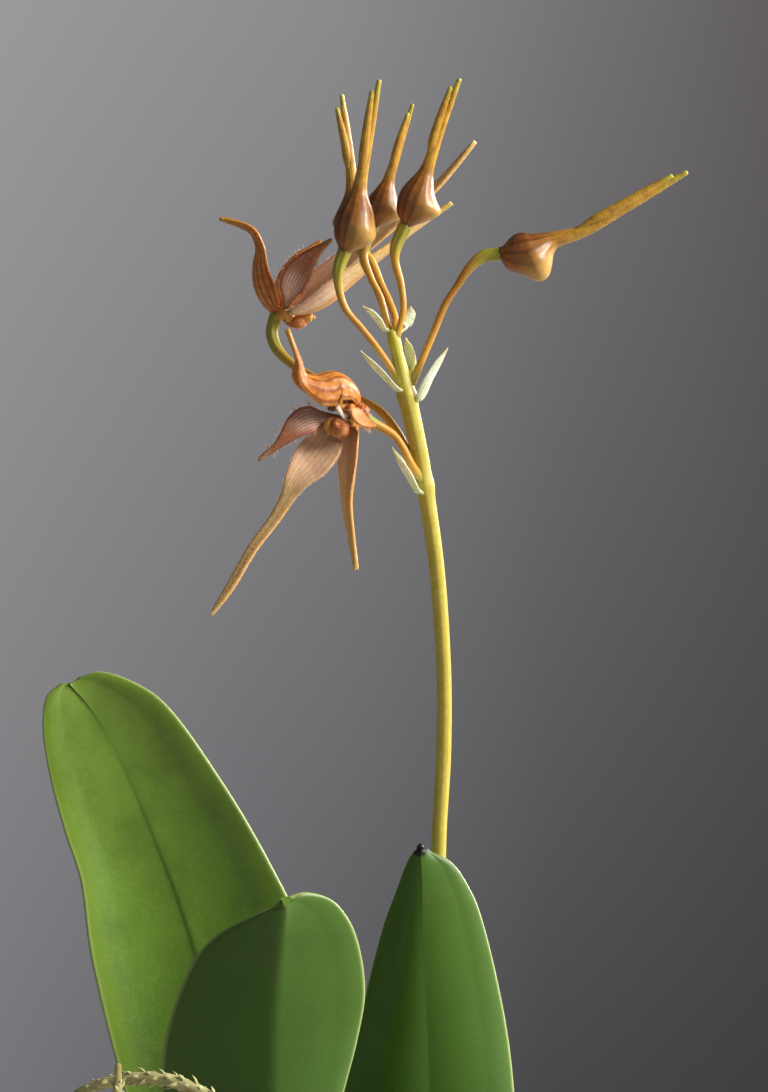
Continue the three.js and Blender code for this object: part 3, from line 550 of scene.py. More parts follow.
def grow(name, ground, tree, **values):
    """Runs a tree on an object and keeps what it makes as a plain mesh object."""
    modifier = ground.modifiers.new(tree.name, "NODES")
    modifier.node_group = tree
    for item in tree.interface.items_tree:
        label = item.name.lower()
        if item.in_out == "INPUT" and label in values:
            modifier[item.identifier] = values[label]
    depsgraph = bpy.context.evaluated_depsgraph_get()
    mesh = bpy.data.meshes.new_from_object(
        ground.evaluated_get(depsgraph), preserve_all_data_layers=True, depsgraph=depsgraph
    )
    ground.modifiers.remove(modifier)
    if not len(mesh.polygons):
        raise RuntimeError(f"{tree.name} made nothing for {name}")
    mesh.name = name
    return new_object(name, mesh)


def loose_points(name, points, edges=(), sizes=None, outs=None):
    """A mesh of points and edges that a tree grows on."""
    mesh = bpy.data.meshes.new(name)
    mesh.from_pydata((np.asarray(points) * MM).tolist(), list(edges), [])
    size = mesh.attributes.new("size", "FLOAT", "POINT")
    size.data.foreach_set("value", np.asarray(sizes, np.float32))
    if outs is not None:
        out = mesh.attributes.new("out", "FLOAT_VECTOR", "POINT")
        out.data.foreach_set("vector", np.asarray(outs, np.float32).ravel())
    return new_object(name, mesh)


def discard(*objects):
    """Removes what was only needed to grow a piece."""
    for unwanted in objects:
        bpy.data.objects.remove(unwanted)


# Materials


def per(size):
    """The scale of a texture on Object coordinates whose pattern is size millimetres across."""
    return 1 / (size * MM)


def new_material(name, values):
    """A material with one Principled shader, whose own sockets take the values."""
    material = bpy.data.materials.new(name)
    material.use_nodes = True
    tree = material.node_tree
    tree.nodes.clear()
    shader = add(tree, "ShaderNodeBsdfPrincipled", values)
    add(tree, "ShaderNodeOutputMaterial", {"Surface": shader})
    return material, tree, shader


def layer(tree, under, over, share, strength=1.0):
    """The colour under with the shade over laid on it, as far as share times strength says."""
    over = over if isinstance(over, (bpy.types.Node, bpy.types.NodeSocket)) else tone(over)
    part = add(tree, "ShaderNodeMath", {0: share, 1: strength}, operation="MULTIPLY")
    mixed = add(tree, "ShaderNodeMix", {0: part, 6: under, 7: over}, data_type="RGBA")
    return mixed.outputs[2]


def dress(tree, shader, shade, roughness=None, height=None, depth=0.05):
    """Links a finished colour, roughness and relief, whose depth is in millimetres."""
    connect(tree, shade, shader.inputs["Base Color"])
    if roughness is not None:
        connect(tree, roughness, shader.inputs["Roughness"])
    if height is not None:
        bump = add(tree, "ShaderNodeBump", {"Height": height, "Distance": depth * MM})
        connect(tree, bump, shader.inputs["Normal"])


def fired_terracotta(clay):
    """Terracotta, thrown and fired without glaze: matt and grainy, with a pale salt bloom, a damp
    darker band under the rim and a green film of algae where it stays wet."""
    material, tree, shader = new_material("thrown unglazed terracotta", {"Specular IOR Level": 0.3})
    place = add(tree, "ShaderNodeTexCoord").outputs["Object"]
    height = add(tree, "ShaderNodeSeparateXYZ", {0: place}).outputs["Z"]
    damp = add(
        tree, "ShaderNodeMapRange",
        {0: height, 1: DAMP_FOOT * MM, 2: DAMP_TOP * MM, 3: 0.0, 4: 0.55},
        interpolation_type="SMOOTHSTEP",
    )
    body, noises = tone(clay), []
    # Size in millimetres, detail, roughness, start and full cover in the noise, shade, strength
    for size, detail, roughness, low, high, over, strength in (
        (16, 4.0, 0.5, 0.35, 0.7, "#8f5238", 0.4),  # clouds from the kiln
        (3.2, 9.0, 0.72, 0.4, 0.8, "#cfb8a4", 0.45),  # salt bloom
        (9, 5.0, 0.5, 0.42, 0.66, "#77714a", damp),  # algae
        (0.45, 3.0, 0.5, 0.5, 0.7, "#7d4a34", 0.3),  # grains
    ):
        noise = add(
            tree, "ShaderNodeTexNoise",
            {"Vector": place, "Scale": per(size), "Detail": detail, "Roughness": roughness},
        )
        cover = add(tree, "ShaderNodeMapRange", {0: noise, 1: low, 2: high})
        body = layer(tree, body, over, cover, strength)
        noises.append(noise)
    _, crust, _, grain = noises
    pits = add(
        tree, "ShaderNodeTexVoronoi", {"Vector": place, "Scale": per(1.1), "Randomness": 1.0}
    )
    pitted = add(tree, "ShaderNodeMapRange", {0: pits, 1: 0.08, 2: 0.2})
    relief = add(tree, "ShaderNodeMath", {0: grain, 1: 0.6}, operation="MULTIPLY")
    relief = add(tree, "ShaderNodeMath", {0: relief, 1: pitted})
    rough = add(tree, "ShaderNodeMapRange", {0: crust, 3: 0.78, 4: 0.98})
    dress(tree, shader, body, rough, relief, 0.08)
    return material


def living_skin(
    name, lengthwise, veins=None, blotches=None, speckle=None, margin=None, painted=None,
    cells=None, roughness=(0.45, 0.6), values=None,
):
    """The skin of a plant piece. lengthwise holds its shades from base to tip. Over them come
    blotches and speckle (size, shade, strength), veins (number across, shade, strength, where
    along it they start to fade and end), the margin (start, shade, strength) and marks (shade,
    strength). cells (size, depth) is the relief of its surface, in millimetres."""
    material, tree, shader = new_material(name, values or {})
    coordinates = add(tree, "ShaderNodeTexCoord")
    place, flat = coordinates.outputs["Object"], coordinates.outputs["UV"]
    across, length, _ = add(tree, "ShaderNodeSeparateXYZ", {0: flat}).outputs
    shade = add(tree, "ShaderNodeValToRGB", {0: length}, lengthwise).outputs[0]
    for size, over, strength in filter(None, (speckle, blotches)):
        cloud = add(
            tree,
            "ShaderNodeTexNoise",
            {
                "Vector": place, "Scale": per(size), "Detail": 3.0, "Roughness": 0.55,
                "Distortion": 0.3,
            },
        )
        cover = add(tree, "ShaderNodeMapRange", {0: cloud, 1: 0.42, 2: 0.68})
        shade = layer(tree, shade, over, cover, strength)
    size, depth = cells
    cell = add(tree, "ShaderNodeTexNoise", {"Vector": place, "Scale": per(size), "Detail": 1.0})
    height = cell
    if veins:
        count, over, strength, start, end = veins
        # The wave texture repeats each TAU / 20 units at scale 1, so this gives count bands across
        band = add(
            tree,
            "ShaderNodeTexWave",
            {
                "Vector": flat, "Scale": count * TAU / 20, "Distortion": 0.8, "Detail": 1.0,
                "Detail Scale": 0.6,
            },
            bands_direction="X",
        )
        line = add(tree, "ShaderNodeMapRange", {0: band.outputs[1], 1: 0.5, 2: 1.0})
        fade = add(tree, "ShaderNodeMapRange", {0: length, 1: start, 2: end, 3: strength, 4: 0.0})
        shade = layer(tree, shade, over, line, fade)
        height = add(
            tree, "ShaderNodeMath", {0: band.outputs[1], 1: strength, 2: height},
            operation="MULTIPLY_ADD",
        ).outputs[0]
    if margin:
        start, over, strength = margin
        off = add(tree, "ShaderNodeMath", {0: across, 1: 0.5}, operation="SUBTRACT")
        off = add(tree, "ShaderNodeMath", {0: off}, operation="ABSOLUTE")
        edge = add(
            tree, "ShaderNodeMapRange", {0: off, 1: start / 2, 2: 0.5},
            interpolation_type="SMOOTHSTEP",
        )
        shade = layer(tree, shade, over, edge, strength)
    for mark, (over, strength) in (painted or {}).items():
        share = add(tree, "ShaderNodeAttribute", attribute_name=mark).outputs["Fac"]
        shade = layer(tree, shade, over, share, strength)
    rough = add(tree, "ShaderNodeMapRange", {0: cloud, 3: roughness[0], 4: roughness[1]})
    dress(tree, shader, shade, rough, height, depth)
    return material


def glow(weight, depth, radius=(1.0, 0.75, 0.45)):
    """The socket values of tissue that light enters: how much of it, and how deep in
    millimetres."""
    return {
        "IOR": 1.42, "Subsurface Weight": weight, "Subsurface Radius": radius,
        "Subsurface Scale": depth * MM,
    }


def dead_moss():
    """Old sphagnum under the living heads: matt brown crumbs and fibres, dark between them."""
    return living_skin(
        "dead sphagnum, crumbled", {0.0: "#2e2818", 1.0: "#3d3720"}, blotches=(1.2, "#8b8450", 0.7),
        speckle=(0.3, "#c0b684", 0.35), cells=(0.5, 0.5), roughness=(0.9, 1.0),
        values={"Specular IOR Level": 0.2},
    )


def sphagnum(fresh, old):
    """Living sphagnum, dried at its tips: pale, matt, and a little translucent."""
    return living_skin(
        "sphagnum leaflets", {0.0: "#5f6a2e", 0.3: fresh, 0.75: "#c6cc96", 1.0: "#ddd8b4"},
        blotches=(1.6, "#8d9450", 0.45), painted={"tint": (old, 0.5)}, cells=(0.12, 0.02),
        roughness=(0.75, 0.95), values=glow(0.3, 0.3, (0.8, 0.9, 0.4)),
    )


def sphagnum_stem():
    """A sphagnum stem: pale straw, brown where it is old."""
    return living_skin(
        "sphagnum stem", {0.0: "#5a4524", 0.3: "#9a8f55", 0.8: "#c2c087", 1.0: "#a39a5c"},
        blotches=(1.5, "#6b5128", 0.45), cells=(0.12, 0.02), roughness=(0.7, 0.9),
        values=glow(0.2, 0.3),
    )


def rhizome_skin():
    """An old rhizome: brown-green, smooth, with grey-brown papery scales at its joints."""
    return living_skin(
        "rhizome skin", {0.0: "#5d5a2a", 0.5: "#77753a", 1.0: "#6f7f34"},
        blotches=(1.4, "#5b4427", 0.7), veins=(16, "#4a3a20", 0.3, 1.0, 2.0),
        painted={"scale": ("#a08a62", 1.0), "root": ("#c8b98f", 0.9)}, cells=(0.18, 0.03),
        roughness=(0.5, 0.75), values=glow(0.08, 0.4),
    )


def pseudobulb_skin():
    """A pseudobulb: a firm waxy green skin, drawn into ribs, browner towards its foot."""
    return living_skin(
        "pseudobulb skin", {0.0: "#6e6a34", 0.25: "#5f7c2c", 0.7: "#6f8f34", 1.0: "#8a984a"},
        blotches=(1.1, "#4b6826", 0.5), speckle=(0.14, "#9db55c", 0.25),
        veins=(28, "#56742a", 0.35, 1.0, 2.0), cells=(0.16, 0.008), roughness=(0.34, 0.5),
        values=glow(0.12, 0.8, (0.5, 1.0, 0.2)),
    )


def dry_sheath():
    """The sheath left round a pseudobulb: dead, papery and fibrous."""
    return living_skin(
        "dry papery sheath", {0.0: "#6e5230", 0.6: "#a98c5e", 1.0: "#c9b48a"},
        blotches=(0.8, "#5a4326", 0.6), veins=(60, "#6e532f", 0.8, 1.0, 2.0), cells=(0.3, 0.03),
        roughness=(0.65, 0.9), values=glow(0.2, 0.2),
    )


def leaf_skin(upper, lower_side, rim):
    """A thick Bulbophyllum leaf: a waxy satin skin that scatters light under its surface, with fine
    lengthwise veins, small bumps, a darker back and a pale translucent margin."""
    return living_skin(
        "waxy leaf skin",
        # Dark low on the leaf and light towards the tip: painted shade below and a painted sheen
        # above.
        {0.0: "#6c7634", 0.12: "#2b3d0c", 0.3: "#3a5714", 0.62: upper, 1.0: "#7d9a3c"},
        blotches=(3, "#3c5a16", 0.3),
        speckle=(0.3, "#93ad58", 0.16),
        veins=(58, "#46641c", 0.07, 1.0, 2.0),
        margin=(0.7, "#86a52c", 0.45),
        painted={
            "underside": (lower_side, 0.82), "midrib": ("#2c420f", 0.8), "rim": (rim, 0.5),
            "spot": ("#0c0906", 1.0),
        },
        cells=(0.4, 0.01),
        roughness=(0.36, 0.48),
        values={**glow(0.08, 0.6, (0.45, 1.0, 0.12)), "Specular IOR Level": 0.45},
    )


def stalk_skin(scape, pedicel):
    """A flower stalk: a smooth yellow-green skin, orange on the thin pedicels, with faint
    streaks."""
    return living_skin(
        "flower stalk skin",
        {0.0: "#8f9142", 0.3: scape, 0.86: scape, 0.94: "#b9b534", 1.0: "#b5ae22"},
        blotches=(0.9, "#a3922c", 0.3),
        speckle=(0.3, "#e6dca0", 0.2),
        veins=(10, "#a08a2e", 0.35, 1.0, 2.0),
        painted={
            "pedicel": (pedicel, 0.9), "dark": ("#97641c", 0.8), "ovary": ("#8f9434", 0.85),
            "dry": ("#b79a66", 1.0),
        },
        cells=(0.35, 0.006),
        roughness=(0.34, 0.48),
        values=glow(0.22, 0.4, (1.0, 0.8, 0.25)),
    )


def bract_membrane():
    """A bract: a thin dry membrane, almost white, with green veins that show through."""
    return living_skin(
        "bract membrane", {0.0: "#b9c276", 0.25: "#d5dcb4", 0.75: "#eceddc", 1.0: "#cbb890"},
        blotches=(0.5, "#b9c48c", 0.5), veins=(5, "#a3b26a", 0.5, 0.8, 1.2), cells=(0.3, 0.01),
        roughness=(0.45, 0.6), values=glow(0.4, 0.3, (1.0, 1.0, 0.7)),
    )


def bud_skin(body, tail):
    """A closed bud: smooth waxy sepals, streaked brown over orange, drawn out into yellow tails."""
    return living_skin(
        "bud skin",
        {
            0.0: "#6a4a1e", 0.05: "#7d4014", 0.16: body, 0.34: body, 0.48: "#a06a22", 0.62: tail,
            0.92: tail, 1.0: "#b2b040",
        },
        blotches=(0.7, "#7c3f18", 0.5),
        speckle=(0.3, "#c98f50", 0.25),
        veins=(11, "#451d08", 0.7, 0.4, 0.62),
        # Away from the chin the body is darker: partly its own brown, partly painted shade.
        painted={"chin": ("#c9a052", 1.0), "flush": ("#54280f", 0.75)},
        cells=(0.4, 0.01),
        roughness=(0.28, 0.42),
        values=glow(0.12, 0.3),
    )


def hood_skin(orange):
    """The upper sepal: orange translucent tissue with darker brown-orange veins and pale dashes."""
    return living_skin(
        "upper sepal tissue",
        {0.0: "#a2501c", 0.2: orange, 0.55: orange, 0.78: "#bb7420", 1.0: "#b79a3a"},
        blotches=(0.5, "#9a4a14", 0.5), speckle=(0.28, "#e8b070", 0.4),
        veins=(7, "#8a3a0e", 0.75, 0.7, 0.95), margin=(0.82, "#dc9a44", 0.4),
        painted={"dash": ("#e6c2a4", 0.6), "back": ("#c07a34", 0.3)}, cells=(0.35, 0.02),
        roughness=(0.34, 0.5), values=glow(0.3, 0.4),
    )


def sepal_skin(peach):
    """A lateral sepal: peach tissue covered in tiny papillae, with a yellow tail and a base
    darkened by a painted shadow."""
    return living_skin(
        "papillose sepal tissue",
        {
            # The brown of the first shades is painted shadow where the sepal meets the lip.
            0.0: "#7a5430", 0.1: "#9c7654", 0.18: peach, 0.4: "#ecc8a0", 0.56: "#dcbc6a",
            0.9: "#d6b04a", 1.0: "#aaa840",
        },
        blotches=(0.5, "#c89674", 0.4),
        speckle=(0.26, "#f2e2d4", 0.5),
        veins=(7, "#b57a4a", 0.3, 0.3, 0.6),
        margin=(0.75, "#cf8a3c", 0.4),
        painted={"band": ("#d08a24", 0.75), "back": ("#d09a60", 0.3)},
        cells=(0.3, 0.02),
        roughness=(0.42, 0.6),
        values=glow(0.3, 0.3, (1.0, 0.8, 0.6)),
    )


def petal_skin(pale, dark):
    """A petal: thin, greyish pink and almost clear in the middle, with dark red-brown edge and
    tip."""
    return living_skin(
        "thin petal tissue",
        {0.0: "#a08c7e", 0.42: pale, 0.52: "#9c6644", 0.64: dark, 0.8: "#8f5a20", 1.0: "#847030"},
        blotches=(0.4, "#a0583a", 0.35), speckle=(0.28, "#d8bfae", 0.3),
        veins=(8, "#7d3216", 0.75, 0.6, 0.9), margin=(0.6, dark, 0.75),
        painted={"back": ("#a87050", 0.3), "band": ("#c97a24", 0.9)}, cells=(0.35, 0.012),
        roughness=(0.36, 0.52), values=glow(0.25, 0.3, (1.0, 0.7, 0.55)),
    )


def lip_flesh():
    """The lip: thick glossy flesh, orange-brown and red at its top, finely papillose."""
    return living_skin(
        "lip flesh",
        # The pale shade round the widest part of the tongue is a painted highlight on its ball.
        {0.0: "#8e3a12", 0.3: "#b0561c", 0.6: "#c98a52", 0.8: "#c07a40", 1.0: "#9a4a18"},
        blotches=(0.4, "#9a3f12", 0.5), speckle=(0.26, "#e6b080", 0.4),
        veins=(8, "#93400f", 0.4, 1.0, 2.0), painted={"lobe": ("#cf9f44", 0.85)},
        cells=(0.3, 0.012), roughness=(0.24, 0.38), values=glow(0.25, 0.4),
    )


def column_flesh():
    """The column: waxy yellow-orange flesh, with pinkish white wings and a dark anther cap."""
    return living_skin(
        "column flesh", {0.0: "#a85c22", 0.5: "#c98a34", 1.0: "#d4a148"},
        blotches=(0.4, "#b56a28", 0.45), speckle=(0.26, "#eec890", 0.3),
        painted={"wing": ("#ecd2c2", 0.85), "cap": ("#43200e", 0.95)}, cells=(0.3, 0.01),
        roughness=(0.28, 0.42), values=glow(0.25, 0.4),
    )


def hair(shade):
    """Hairs of the petals and sepals: clear and colourless but for their pigment."""
    return living_skin(
        "petal hairs", {0.0: shade, 1.0: shade}, blotches=(0.5, "#e8c8ac", 0.3),
        painted={"tint": ("#f0d8c4", 0.35)}, cells=(0.1, 0.005), roughness=(0.35, 0.5),
        values=glow(0.4, 0.2),
    )


# Pot and moss


def inner_radius(z):
    """Radius of the pot's inner wall at a height."""
    foot, mouth = FOOT_RADIUS - WALL, RIM_RADIUS - WALL
    return foot + (mouth - foot) * (z - FLOOR) / (POT_HEIGHT - EDGE - FLOOR)


def moss_top(x, y):
    """Height of the moss: a mound with a heap round the loose strands, and low hummocks."""
    outward = np.hypot(x, y) / inner_radius(MOSS_EDGE)
    mound = MOSS_LEVEL - (MOSS_LEVEL - MOSS_EDGE) * outward**MOSS_FALL
    heap = HEAP_RISE * np.exp(-((x - HEAP_AT[0]) ** 2 + (y - HEAP_AT[1]) ** 2) / HEAP_SPREAD)
    waves = sum(h * np.sin(a * x + b * y + phase) for h, a, b, phase in HUMMOCKS)
    return mound + heap + waves * np.maximum(0, 1 - outward**4)


def rounded(corners, radius, spacing):
    """An outline with its corners rounded off, as points no further apart than spacing."""
    p = np.array(corners, float)
    outline = []
    for i, corner in enumerate(p):
        back, on = p[i - 1] - corner, p[(i + 1) % len(p)] - corner
        reach = min(radius, 0.45 * np.linalg.norm(back), 0.45 * np.linalg.norm(on))
        start, end = corner + unit(back) * reach, corner + unit(on) * reach
        for s in np.linspace(0, 1, 5):
            outline.append((1 - s) ** 2 * start + 2 * s * (1 - s) * corner + s * s * end)
    points = []
    for i, point in enumerate(outline):
        after = outline[(i + 1) % len(outline)]
        count = max(1, round(np.linalg.norm(after - point) / spacing))
        points += [point + (after - point) * k / count for k in range(count)]
    return np.array(points)


def pot_skin(line_depth):
    """The pot, turned: its wall as in the CAD model, with finger lines and a slightly uneven
    rim."""
    sides = 120
    band_foot = POT_HEIGHT - RIM_BAND
    body_top = RIM_RADIUS - RIM_LEAN - RIM_STEP
    mouth = RIM_RADIUS - WALL
    profile = rounded(
        [
            (DRAIN_RADIUS, 0), (FOOT_RADIUS, 0), (body_top, band_foot),
            (body_top + RIM_STEP, band_foot + EDGE / 2), (RIM_RADIUS, POT_HEIGHT),
            (mouth, POT_HEIGHT), (inner_radius(FLOOR + FLOOR_CORNER), FLOOR + FLOOR_CORNER),
            (inner_radius(FLOOR) - FLOOR_CORNER, FLOOR), (DRAIN_RADIUS, FLOOR),
        ],
        EDGE,
        0.5,
    )
    angle = TAU * np.arange(sides) / sides
    r, a = np.meshgrid(profile[:, 0], angle, indexing="ij")
    z = np.repeat(profile[:, 1][:, None], sides, axis=1)
    wall = rise(1.2, 4, z) * rise(DRAIN_RADIUS + 2, FOOT_RADIUS - 4, r)
    coarse = np.sin(TAU * z / COARSE_LINES + 0.7 * np.sin(a))
    fine = 0.5 * np.sin(TAU * z / FINE_LINES + np.sin(2 * a + 1))
    # The lines only cut inwards, so that the wall stays inside the CAD model's
    r = r + wall * (line_depth * (coarse + fine - 1.5) - 0.05 * (1 + np.sin(2 * a + 0.6)))
    z = z - rise(POT_HEIGHT - 3, POT_HEIGHT, z) * 0.12 * (1 + np.sin(3 * a + 0.4 * np.sin(5 * a)))
    points = np.stack([r * np.cos(a), r * np.sin(a), z], -1).reshape(-1, 3)
    levels = np.arange(len(profile) + 1) / len(profile)
    return Skin(points, *hoop_faces(levels, sides, closed=True))


def mound_skin():
    """The moss body that fills the pot, its top broken up into crumbs."""
    sides, rings = 168, 56
    reach = inner_radius(MOSS_EDGE) - CLEARANCE
    angle = TAU * np.arange(sides) / sides
    hoops = [
        (inner_radius(FLOOR) - FLOOR_CORNER - 2 * CLEARANCE, FLOOR + CLEARANCE),
        (inner_radius(FLOOR + FLOOR_CORNER) - CLEARANCE, FLOOR + FLOOR_CORNER + CLEARANCE),
        (reach, MOSS_EDGE - 1.5),
    ]
    hoops += [(reach * i / rings, None) for i in range(rings, 0, -1)]
    rows = []
    for radius, height in hoops:
        x, y = radius * np.cos(angle), radius * np.sin(angle)
        z = moss_top(x, y) if height is None else np.full(sides, float(height))
        rows.append(np.stack([x, y, z], -1))
    grid = np.array(rows)
    grid[3:, :, 2] += 0.3 * lumps(grid[3:], 2.6, 5) + 0.16 * lumps(grid[3:], 1.1, 6) - 0.35
    points = np.vstack([grid.reshape(-1, 3), grid[0].mean(0), grid[-1].mean(0)])
    faces = hoop_faces(range(len(hoops)), sides)[0] + pole_faces(len(hoops), sides)[0]
    flat = points[:, :2] / (2 * reach) + 0.5
    uv = [tuple(flat[p]) for face in faces for p in face]
    return Skin(points, faces, uv)


def head_branches(spacing, seed):
    """Where the branches of the moss heads start, the ways they point and their sizes. Each head
    is a star of branches seen from above, crowded and upright in its middle."""
    random = np.random.default_rng(seed)
    creeping = Path(RHIZOME_PATH).even(np.linspace(0, 1, 60))
    bare = [creeping] + [Path(s["path"]).at(np.linspace(0, 0.2, 4)) for s in STRANDS.values()]
    bare = np.vstack(bare + [np.array([[x, y, 0] for x, y in BULB_FEET.values()])])[:, :2]
    reach = inner_radius(MOSS_EDGE) - 1
    heads = np.empty((0, 2))
    for _ in range(HEAD_TRIES):
        turn = random.uniform(0, TAU)
        at = reach * math.sqrt(random.uniform(0, 1)) * np.array([math.cos(turn), math.sin(turn)])
        if np.linalg.norm(bare - at, axis=1).min() < BARE_WIDTH:
            continue
        if len(heads) and np.linalg.norm(heads - at, axis=1).min() < spacing:
            continue
        heads = np.vstack([heads, at])
    share = (np.arange(HEAD_BRANCHES) + 0.5) / HEAD_BRANCHES
    points, outs, sizes = [], [], []
    for x, y in heads:
        up = unit(np.array([0, 0, 1]) + [*random.normal(0, 0.28, 2), 0])
        aside = unit(np.cross(up, [0.3, 1, 0]))
        turn = np.arange(HEAD_BRANCHES) * GOLDEN + random.uniform(0, TAU)
        tilt = np.radians(84 - 88 * share + random.uniform(-10, 10, HEAD_BRANCHES))
        flat = np.cos(turn)[:, None] * aside + np.sin(turn)[:, None] * np.cross(up, aside)
        foot = np.array([x, y, moss_top(x, y) - random.uniform(0.2, 0.75)])
        points.append(foot + up * (0.45 * (1 - share))[:, None] + flat * 0.12)
        outs.append(flat * np.cos(tilt)[:, None] + up * np.sin(tilt)[:, None])
        grown = random.uniform(0.7, 1.3)
        sizes.append(grown * (0.62 + 0.5 * share) * random.uniform(0.8, 1.2, HEAD_BRANCHES))
    return np.vstack(points), np.vstack(outs), np.concatenate(sizes)


def branch(name):
    """One branch of a sphagnum head, a tapered leafy spike that droops at its end."""
    spike = [(0, 0, 0), (0.02, 0, 0.5 * BRANCH_LENGTH), (0.34, 0, 0.95 * BRANCH_LENGTH)]
    return make_object(name, [tube(spike, [0.13, 0.21, 0.02], 4, 3, (1, 0, 0), caps=())], [])


def hair_shape(name, length, radius):
    """One tapered hair along Z."""
    spike = [(0, 0, 0), (0, 0, length / 2), (0, 0, length)]
    return make_object(
        name, [tube(spike, [radius, radius * 0.7, radius * 0.15], 5, 2, caps=())], []
    )


def leaflet(name):
    """One sphagnum leaflet, hollowed and pointed, leaning out and up from its stem."""
    blade = tube(
        [(0.1, 0, 0), (0.55, 0, 0.35), (0.85, 0, 0.85)], [0.1, 0.33, 0.03], 4, 3, (1, 0, 0.4),
        caps=(), flatten=0.4,
    )
    return make_object(name, [blade], [])


STRANDS = {
    "arch": {
        "path": [
            (-3.4, -19.0, -4.0), (-2.6, -19.8, 5), (-3.2, -20.6, 14), (-5.2, -20.9, 22),
            (-8.4, -20.8, 27.6), (-11.6, -20.4, 29.2), (-14.6, -19.8, 29.2), (-17.0, -19.0, 28.5),
            (-18.8, -18.2, 27.2),
        ],
        "sizes": [0.6, 0.62, 0.66, 0.7, 0.78, 0.8, 0.74, 0.6, 0.3],
    },
    "upright": {
        "path": [
            (-12.6, -15.8, -3.5), (-13.4, -17.6, 5), (-14.7, -20.6, 14), (-15.0, -21.9, 22),
            (-14.9, -22.3, 27), (-14.8, -22.3, 30.2),
        ],
        "sizes": [0.58, 0.6, 0.62, 0.66, 0.78, 0.4],
    },
}


# Rhizome and pseudobulbs

RHIZOME_PATH = [
    (-7.0, -13.4, -0.5), (-6.7, -10.0, 0.1), (-7.5, -3.0, 0.2), (-5.8, 4.0, 0.2), (-0.4, 4.8, 0.2),
    (4.2, 3.0, 0.2), (5.3, -1.5, 0.2), (7.2, -5.4, 0.7),
]
RHIZOME_RADII = [0.8, 1, 1, 1, 1, 1, 1, 0.62]
RHIZOME_JOINTS = 12
ROOT_PLACES = [
    0.04, 0.1, 0.15, 0.21, 0.26, 0.32, 0.37, 0.43, 0.48, 0.54, 0.6, 0.66, 0.7, 0.8, 0.88, 0.93
]
BULB_FEET = {"right": (5.3, -1.5), "left": (-5.8, 4.0), "middle": (-6.7, -10.0)}
BULB_LEANS = {"right": (0.0, 0.0), "left": (0.2, 0.1), "middle": (0.0, -0.3)}


def above_moss(points):
    """Points of the plant, whose heights are above the moss level, in the frame of the pot."""
    return [(p[0], p[1], p[2] + MOSS_LEVEL, *p[3:]) for p in points]


def rhizome_skins():
    """The rhizome, ringed by the papery scales of its joints, and the roots that leave its
    sides."""
    line = Path(above_moss(RHIZOME_PATH))

    def sheathed(t, angle):
        lap = (t * RHIZOME_JOINTS) % 1
        return 1 + 0.13 * lap**3 + 0.03 * np.sin(9 * angle + 20 * t) * lap

    skins = [
        tube(
            line, np.array(RHIZOME_RADII) * RHIZOME_RADIUS, 28, 240, swell=sheathed,
            scale=lambda t, a: rise(0.35, 0.95, (t * RHIZOME_JOINTS) % 1) * 0.8,
        )
    ]
    random = np.random.default_rng(7)
    for i, t in enumerate(ROOT_PLACES):
        start = line.at(t)
        ahead = line.ahead(t)
        out = unit(np.array([-ahead[1], ahead[0], 0])) * (1 if i % 2 else -1)
        far = random.uniform(3.2, 5.4)
        drift = ahead * random.uniform(-0.8, 0.8)
        turns = [(0, -0.1), (0.35, 0.3), (0.7, -0.5), (0.9, -2.2), (1, -4.2)]
        path = []
        for share, up in turns:
            x, y, _ = start + (out * far + drift) * share
            path.append((x, y, MOSS_LEVEL + up))
        skins.append(
            tube(
                path, [ROOT_RADIUS, ROOT_RADIUS, 0.42, 0.36, 0.2], 10, 20,
                swell=lambda t, a: 1 + 0.06 * np.sin(31 * t + a), root=1,
            )
        )
    return skins


def bulb_skins(side, seed):
    """A ribbed pseudobulb, its collar under the leaf, and the torn sheath round its foot."""
    x, y = BULB_FEET[side]
    lean = BULB_LEANS[side]

    def at(share):
        return (
            x + lean[0] * share, y + lean[1] * share, MOSS_LEVEL + BULB_FOOT + BULB_HEIGHT * share
        )

    def ribs(t, angle):
        fold = np.cos(BULB_RIBS * angle + 0.5 * np.sin(3 * t + seed))
        lengthwise = 0.012 * np.sin(23 * angle + 4 * np.sin(7 * t))
        crosswise = 0.008 * np.sin(60 * t + 3 * angle)
        return 1 + (RIB_RISE * fold + lengthwise + crosswise) * np.sin(math.pi * t)

    body = tube(
        [at(s) for s in (0, 0.17, 0.34, 0.5, 0.67, 0.84, 1)], BULB_RADII, 84, 58, swell=ribs
    )
    collar = tube(
        [at(s) for s in (0.94, 0.99, 1.03)], [1.3, 1.42, 1.12], 36, 12,
        swell=lambda t, a: 1 + 0.04 * np.sin(7 * a), finish=1,
    )
    foot = tube(
        [(x, y, MOSS_LEVEL - 0.4), (x, y, MOSS_LEVEL + 0.9), at(0.02)], [0.8, 0.95, 0.9], 24, 12,
        finish=1,
    )
    skins = [body, collar, foot]
    random = np.random.default_rng(seed)
    for k in range(SHEATH_STRIPS):
        turn = TAU * (k + random.uniform(-0.3, 0.3)) / SHEATH_STRIPS
        wide = random.uniform(0.5, 0.95)
        tall = random.uniform(0.2, 0.46)
        stations = []
        for s in np.linspace(0, 1, 5):
            share = 0.015 + tall * s
            r = along(BULB_RADII, share)
            r = float(r) * 1.03 + 0.05 + 0.3 * s**3
            bx, by, bz = at(share)
            half = wide * (1 - 0.85 * s**1.5)
            stations.append((bx + r * math.cos(turn), by + r * math.sin(turn), bz, half, 0.25))
        inward = (-math.cos(turn), -math.sin(turn), 0)
        surface = blade_surface(stations, inward, wave=0.12, tip=0.8)
        skins.append(sheet(surface, lambda t, u: 0.13 - 0.05 * u**2, 22, 10, finish=1))
    return skins


# Leaves: edge, midrib, edge

